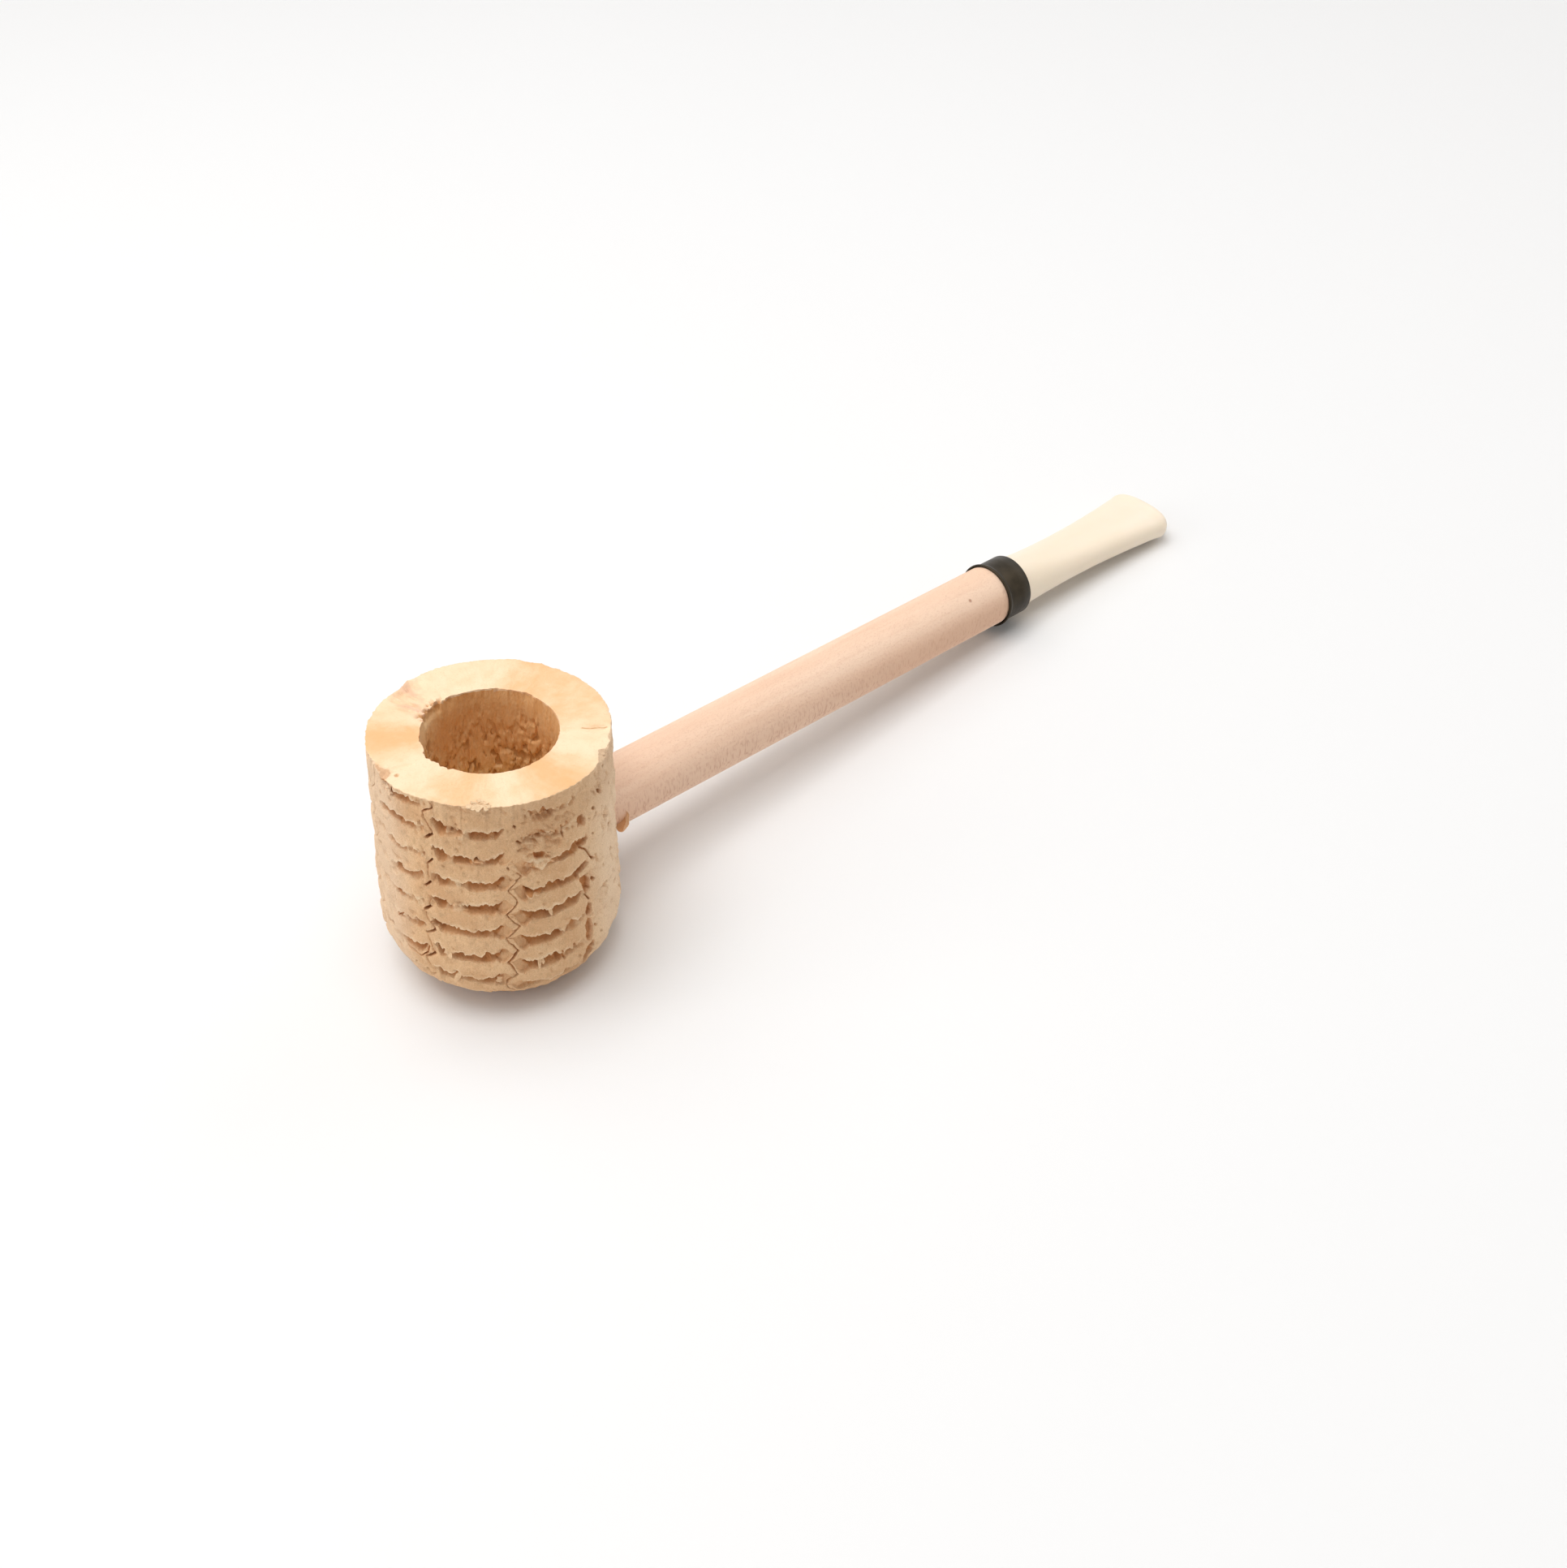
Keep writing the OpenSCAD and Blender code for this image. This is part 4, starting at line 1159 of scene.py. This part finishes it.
SHOULDER, SPIGOT_R = FERRULE_FROM + 0.33, 4.75
SOCKET_R, FILTER_BORE_R, DRAUGHT_R, PLAY = 3.75, 3.3, 2.0, 0.6
shank_outline = [(coped, DRAUGHT_R), (coped, 3.0), (coped, 4.0), (coped, SHANK_R)]
shank_outline += [(x, SHANK_R) for x in (12, 30, 50, 70, 90, SHOULDER - 0.2)]
shank_outline += [(SHOULDER, SHANK_R - 0.15), (SHOULDER + 0.02, SPIGOT_R), (SHANK_END - 0.25, SPIGOT_R)]
shank_outline += [(SHANK_END, 4.5), (SHANK_END, 3.9), (SHANK_END - 0.15, SOCKET_R)]
shank_outline += [(TENON_FROM - PLAY, r) for r in (SOCKET_R, FILTER_BORE_R)]
shank_outline += [(FILTER_FROM - PLAY, FILTER_BORE_R)]
shank_outline += [(x, DRAUGHT_R) for x in (FILTER_FROM - PLAY, 40, 12)]
shank_mesh = turned("beech_shank", shank_outline)

# %% Beech
beech = f = Finish("beech", Specular_IOR_Level=0.3)
grain = f.noise(0.7, (22, 1.4, 1), detail=3)
rays = f.noise(0.26, (1.0, 0.8, 6.0), detail=1)
flank = (20.0 - f.z).between(1.5, 6.5)
shaded = (19.5 - f.z).between(0.0, 3.5) * (f.z - 11.0).between(0.0, 3.0)
knot = 1.0 - f.away_from(92.8, -3.1, 18.93).between(0.1, 0.45)
f.ground(f.noise(3.2, (14, 1, 2.5), detail=2).between(0.3, 0.72), (247, 215, 189), (242, 205, 177))
f.tint(grain.between(0.45, 0.8) * 0.3, (228, 182, 152))
f.tint(rays.between(0.5, 0.68) * (0.12 + 0.55 * flank), (206, 150, 124))
f.tint(f.noise(0.2, (5, 1, 1), detail=1).between(0.68, 0.82) * 0.25, (204, 156, 128))
f.tint(shaded * (0.3 + 0.3 * (f.x - 45.0).between(0.0, 45.0)), (220, 176, 146))
# Painted light: the underside of the shank is made lighter, where light from the floor brightens it.
f.tint((13.0 - f.z).between(0.0, 2.5) * 0.7, (255, 232, 212))
f.tint(knot * 0.75, (166, 108, 80))
f.done(0.62 + 0.2 * grain, f.relief(rays.between(0.5, 0.75) + 0.6 * grain, 0.04))
add_piece(shank_mesh, (beech,), "pipe", "shank", sharp=35)

# %% [markdown]
# ## The ferrule
# A thin dark tube. The end over the shank is belled out to a lip, which catches a line of light, and
# its open mouth guides the mouthpiece. All edges of the sheet are slightly rounded. The metal looks like
# dark patinated bronze, with fine lines around it as spinning would leave them.

# %% Ferrule
outer = [(FERRULE_TO, 4.87), (FERRULE_TO, 5.03)]
outer += [(x, 5.1) for x in (FERRULE_TO - 0.07, 104.0, 102.6, 101.75)]
outer += [(101.5, 5.12), (101.28, 5.2), (101.1, 5.33), (100.95, 5.42), (100.8, 5.45), (100.6, 5.45)]
inner = [(FERRULE_FROM, 5.39), (FERRULE_FROM, 5.2), (100.6, 5.15), (100.8, 5.12), (101.0, 5.06)]
inner += [(101.3, 4.92), (101.55, 4.82)] + [(x, 4.8) for x in (101.8, 103, FERRULE_TO - 0.07)]
ferrule_mesh = turned("dark_ferrule", outer + inner)
dark_metal = f = Finish("dark_metal", Metallic=1.0)
spin = f.noise(0.25, (0.6, 8, 8), detail=2)
f.ground(f.noise(2.2, detail=3).between(0.3, 0.7), (65, 57, 46), (52, 46, 37))
f.tint(f.noise(0.5, detail=3).between(0.6, 0.8) * 0.4, (78, 69, 55))
f.done(0.36 + 0.16 * spin, f.relief(spin, 0.012))
add_piece(ferrule_mesh, (dark_metal,), "pipe", "ferrule", sharp=60)

# %% [markdown]
# ## The mouthpiece
# Moulded plastic: a tenon that grips the filter, a round collar, and a body that flattens and flares
# to a lip for the teeth. The rings go over the outside to the tip, in through the smoke slot and back
# along the channel to the filter's seat, so the mouthpiece is one closed solid.

# %% Outside of the mouthpiece
COLLAR_R, BIT_L, TIP_W, TIP_T = 4.5, 36.8, 13.0, 5.2
FLARE, THIN, END_L, BUTTON_H, BUTTON_L = 2.6, 3.6, 3.2, 0.35, 3.4
END_AT = 1 - END_L / BIT_L  # where the tip starts to round off, as a share of the length
SIDES = 96


def oval(x, half_w, half_t, power):
    """A ring at x: round at power 2, squarer above."""
    c, s = np.cos(full_turn(SIDES)), np.sin(full_turn(SIDES))
    across, upward = (np.sign(v) * np.abs(v) ** (2 / power) for v in (c, s))
    return np.stack((np.full(SIDES, x), half_w * across, SHANK_H + half_t * upward), 1)


def circle(x, r):
    return oval(x, r, r, 2)


def body_ring(u):
    """The outside of the body, from the ferrule at 0 to the tip at 1."""
    end = max(0, (u - END_AT) / (END_L / BIT_L))
    near = max(0, 1 - abs((1 - u) * BIT_L - 0.6 * BUTTON_L) / (0.6 * BUTTON_L))
    button = BUTTON_H * (1 - math.cos(math.pi * near)) / 2
    half_w = (COLLAR_R + (TIP_W / 2 - COLLAR_R) * u**FLARE) * (1 - end**2.4) ** (1 / 2.4)
    half_t = (COLLAR_R + (TIP_T / 2 - COLLAR_R) * (1 - (1 - u) ** THIN) + button) * (1 - end**3) ** 0.5
    return oval(FERRULE_TO + BIT_L * u, half_w, half_t, 2 + 0.6 * u)


BIT_BASE, TENON_R, GRIP_R = 104.1, 3.7, 3.05
bit_rows = [circle(TENON_FROM, r) for r in (GRIP_R + 0.1, TENON_R - 0.25)]
bit_rows += [circle(x, TENON_R) for x in (TENON_FROM + 0.3, 97, BIT_BASE - 0.02)]
bit_rows += [circle(BIT_BASE, r) for r in (TENON_R + 0.05, COLLAR_R - 0.15)]
bit_rows += [circle(x, COLLAR_R) for x in (BIT_BASE + 0.15, 105.0)]
bit_rows += [body_ring(u) for u in np.linspace(0, END_AT, 46)]
bit_rows += [body_ring(END_AT + (1 - END_AT) * math.sin(a)) for a in np.linspace(0.12, math.radians(83), 14)]
print("rings on the outside:", len(bit_rows))

# %% [markdown]
# ## Channel and plastic
# Inside, a flat slot at the lip changes to a round channel. The plastic is cream with faint streaks
# from its flow in the mould, and a little warmer at the lip. A thin coat gives the soft gloss, and some
# light scattered below the surface keeps the thin tip from looking like painted metal.

# %% Smoke channel and ivory
SEAT, CHANNEL_R, SLOT_END = 100.1, 1.5, 124.4
mouth = TIP_END - 0.12
bit_rows += [oval(mouth, 3.5, 1.0, 5), oval(mouth - 0.25, 3.25, 0.8, 6), oval(mouth - 0.8, 3.15, 0.75, 6)]
for u in np.linspace(0, 1, 12):  # from a flat slot to a round channel
    x = mouth - 1.5 - u * (mouth - 1.5 - SLOT_END)
    half_w, half_t = (slot * (1 - u) + CHANNEL_R * u for slot in (3.1, 0.75))
    bit_rows.append(oval(x, half_w, half_t, 6 * (1 - u) + 2 * u))
bit_rows += [circle(x, CHANNEL_R) for x in (115, 105, SEAT)] + [circle(SEAT - 0.02, GRIP_R - 0.1)]
bit_rows += [circle(x, GRIP_R) for x in (SEAT - 0.1, 96, TENON_FROM + 0.1)]
bit_mesh = new_mesh("ivory_bit", np.concatenate(bit_rows), ring_faces(len(bit_rows), SIDES, True)[:, ::-1])

ivory = f = Finish("ivory_plastic", IOR=1.5, Coat_Weight=0.15, Coat_Roughness=0.12, Subsurface_Weight=0.12,
                   Subsurface_Radius=(0.003, 0.002, 0.0012), Subsurface_Scale=1.0)
f.ground(f.noise(9, (3, 1, 1), detail=3).between(0.3, 0.7), (248, 231, 209), (244, 226, 200))
f.tint((f.x - 140.6).between(0.0, 1.2) * 0.55, (240, 214, 186))
f.done(0.3 + 0.16 * f.noise(0.7, detail=4), f.relief(f.noise(1.4, (2, 1, 1), detail=3), 0.012))
add_piece(bit_mesh, (ivory,), "mouthpiece", "bit", sharp=45)

# %% [markdown]
# ## The filter
# It only shows when the mouthpiece is drawn out: a rolled paper tube, with the lap of the paper as a
# small step, and a pleated core whose folds leave the smoke a way through. Both are turned like the
# shank, but with a radius that changes around the ring. Pulp, drawn out along the filter, shades the
# paper.

# %% Filter
WRAP, FOLDS = 160, 9
wrap_turn = full_turn(WRAP)
lap = 0.07 * ease(0.0, 0.10, wrap_turn) * ease(5.2, 0.2, wrap_turn)
tube = [(FILTER_FROM, 2.76), (FILTER_FROM, 2.88 + lap)]
stations = np.linspace(FILTER_FROM + 0.06, FILTER_TO - 0.06, 14)
for x in stations:
    crinkle = 0.02 * (bumps(wrap_turn / (2 * np.pi) * 24, np.full(WRAP, x / 3), 71, 24) - 0.5)
    tube.append((x, 2.92 + lap + crinkle))
tube += [(FILTER_TO, 2.88 + lap), (FILTER_TO, 2.76)] + [(x, 2.72) for x in stations[::-1]]
fold = np.abs(np.mod(wrap_turn / (2 * np.pi) * FOLDS, 1) - 0.5) * 2
core_out, core_in = 1.28 + 1.34 * fold, 1.06 + 1.34 * np.clip(fold - 0.16, 0, 1)
along = np.linspace(FILTER_FROM + 0.3, FILTER_TO - 0.3, 8)
core = [(x, core_out) for x in along] + [(x, core_in) for x in along[::-1]]


def paper(name, colour, shade):
    finish = Finish(name, Specular_IOR_Level=0.2)
    pulp = finish.noise(0.6, (2.5, 1, 1), detail=4)
    finish.ground(pulp.between(0.35, 0.75), colour, shade)
    finish.done(0.8 + 0.15 * pulp, finish.relief(pulp, 0.05))
    return finish


wrapper_paper = paper("filter_paper", (242, 239, 230), (228, 222, 208))
pleat_paper = paper("pleat_paper", (234, 228, 214), (214, 205, 186))
tube_mesh, core_mesh = turned("filter_tube", tube, WRAP), turned("filter_folds", core, WRAP)
add_piece(tube_mesh, (wrapper_paper,), "filter", "filter_wrapper", sharp=50)
add_piece(core_mesh, (pleat_paper,), "filter", "filter_pleats", sharp=30)

# %% [markdown]
# ## Floor and sky
# The pipe lies on a white sheet in a light tent. Near the pipe the floor is plain paper that takes the
# soft shadow. Far away it turns to pure white, and so does the sky, but only for rays that look at
# them: the Light Path node tells those from rays that gather light. So the backdrop is white and the
# pipe isn't lit any brighter. Seen from low down, a pale grey stretch of floor lies before the white.


# %% White floor and sky
def looked_at(nodes):
    """1 where a camera, mirror or glass looks at the backdrop itself, 0 where it only gives light."""
    return sum(nodes.node("LightPath", out=f"Is {kind} Ray") for kind in ("Camera", "Glossy", "Transmission"))


FLOOR_REACH = 4.0  # metres each way
corner_signs = ((-1, -1), (1, -1), (1, 1), (-1, 1))
floor_mesh = bpy.data.meshes.new("floor")
floor_mesh.from_pydata([(FLOOR_REACH * a, FLOOR_REACH * b, 0) for a, b in corner_signs], [], [(0, 1, 2, 3)])
floor = put("floor", floor_mesh)
f = Finish("floor_white", Base_Color=(0.865, 0.86, 0.855, 1), Roughness=0.9, Specular_IOR_Level=0.1)
far = f.away_from(72.0, 0.0, 0.0).between(470.0, 700.0)
white = f.node("Emission", None, {"Color": (1, 1, 1, 1), "Strength": 1.0})
surface = f.node("MixShader", None, (far * looked_at(f), Socket(f, f.shader.outputs[0]), white))
f.plug(f.tree.nodes["Material Output"].inputs["Surface"], surface)
floor_mesh.materials.append(f.material)

world = bpy.data.worlds.new("tent")
bpy.context.scene.world = world
world.use_nodes = True
sky = Nodes(world.node_tree)
tent_light = sky.node("Background", None, {"Color": (1.0, 0.992, 0.985, 1), "Strength": 0.4})
tent_look = sky.node("Background", None, {"Color": (1, 1, 1, 1), "Strength": 1.0})
surface = sky.node("MixShader", None, (looked_at(sky), tent_light, tent_look))
sky.plug(sky.tree.nodes["World Output"].inputs["Surface"], surface)
print("world:", world.name, "floor edge in m:", 2 * FLOOR_REACH)

# %% [markdown]
# ## Lamps
# Four large soft lamps stand in for the walls of the tent: most of the light comes from above and from
# behind, a little from the left and the right. Large lamps give the soft shadow of the photograph.


# %% Lamps
def lamp(name, place, size, power):
    """A soft square lamp facing the pipe; metres and watts."""
    light = bpy.data.lights.new(name, "AREA")
    light.size, light.energy = size, power
    made = put(name, light)
    made.location = place
    toward = np.array((0.0, 0, 0.01)) - np.array(place)
    made.rotation_euler = Vector(toward).to_track_quat("-Z", "Y").to_euler()


lamp("tent_top", (-0.12, 0.0, 0.8), 0.6, 3.44)
lamp("tent_back", (-0.15, 0.36, 0.78), 0.8, 2.23)
lamp("tent_left", (-0.75, 0.3, 0.35), 0.5, 1.31)
lamp("tent_right", (0.75, 0.0, 0.5), 0.6, 0.97)

# %% [markdown]
# ## Camera
# The camera stands where the photograph was taken from. Its place and axes were fitted to the
# photograph. They are given in the pipe's own axes, so it follows the pipe wherever the solids put it.

# %% Camera
scene = bpy.context.scene
scene.view_settings.view_transform = "Standard"
camera = put("camera", bpy.data.cameras.new("camera"))
CAMERA_AT = np.array((-121.479, -178.533, 165.261 + BOWL_H))
CAMERA_AXES = np.array((
    (0.732317, -0.679786, 0.040034), (0.405666, 0.482723, 0.776153), (-0.546944, -0.55215, 0.629272),
))
pose = np.eye(4)
pose[:3, :3] = (CAMERA_AXES @ pipe_axes).T
pose[:3, 3] = to_room(CAMERA_AT)
camera.matrix_world = Matrix(pose.tolist())
camera.data.sensor_fit, camera.data.sensor_width, camera.data.sensor_height = "VERTICAL", 36, 36
camera.data.lens = 46.5
camera.data.clip_start = 0.01
scene.camera = camera
print("camera at", [round(v, 4) for v in camera.location])
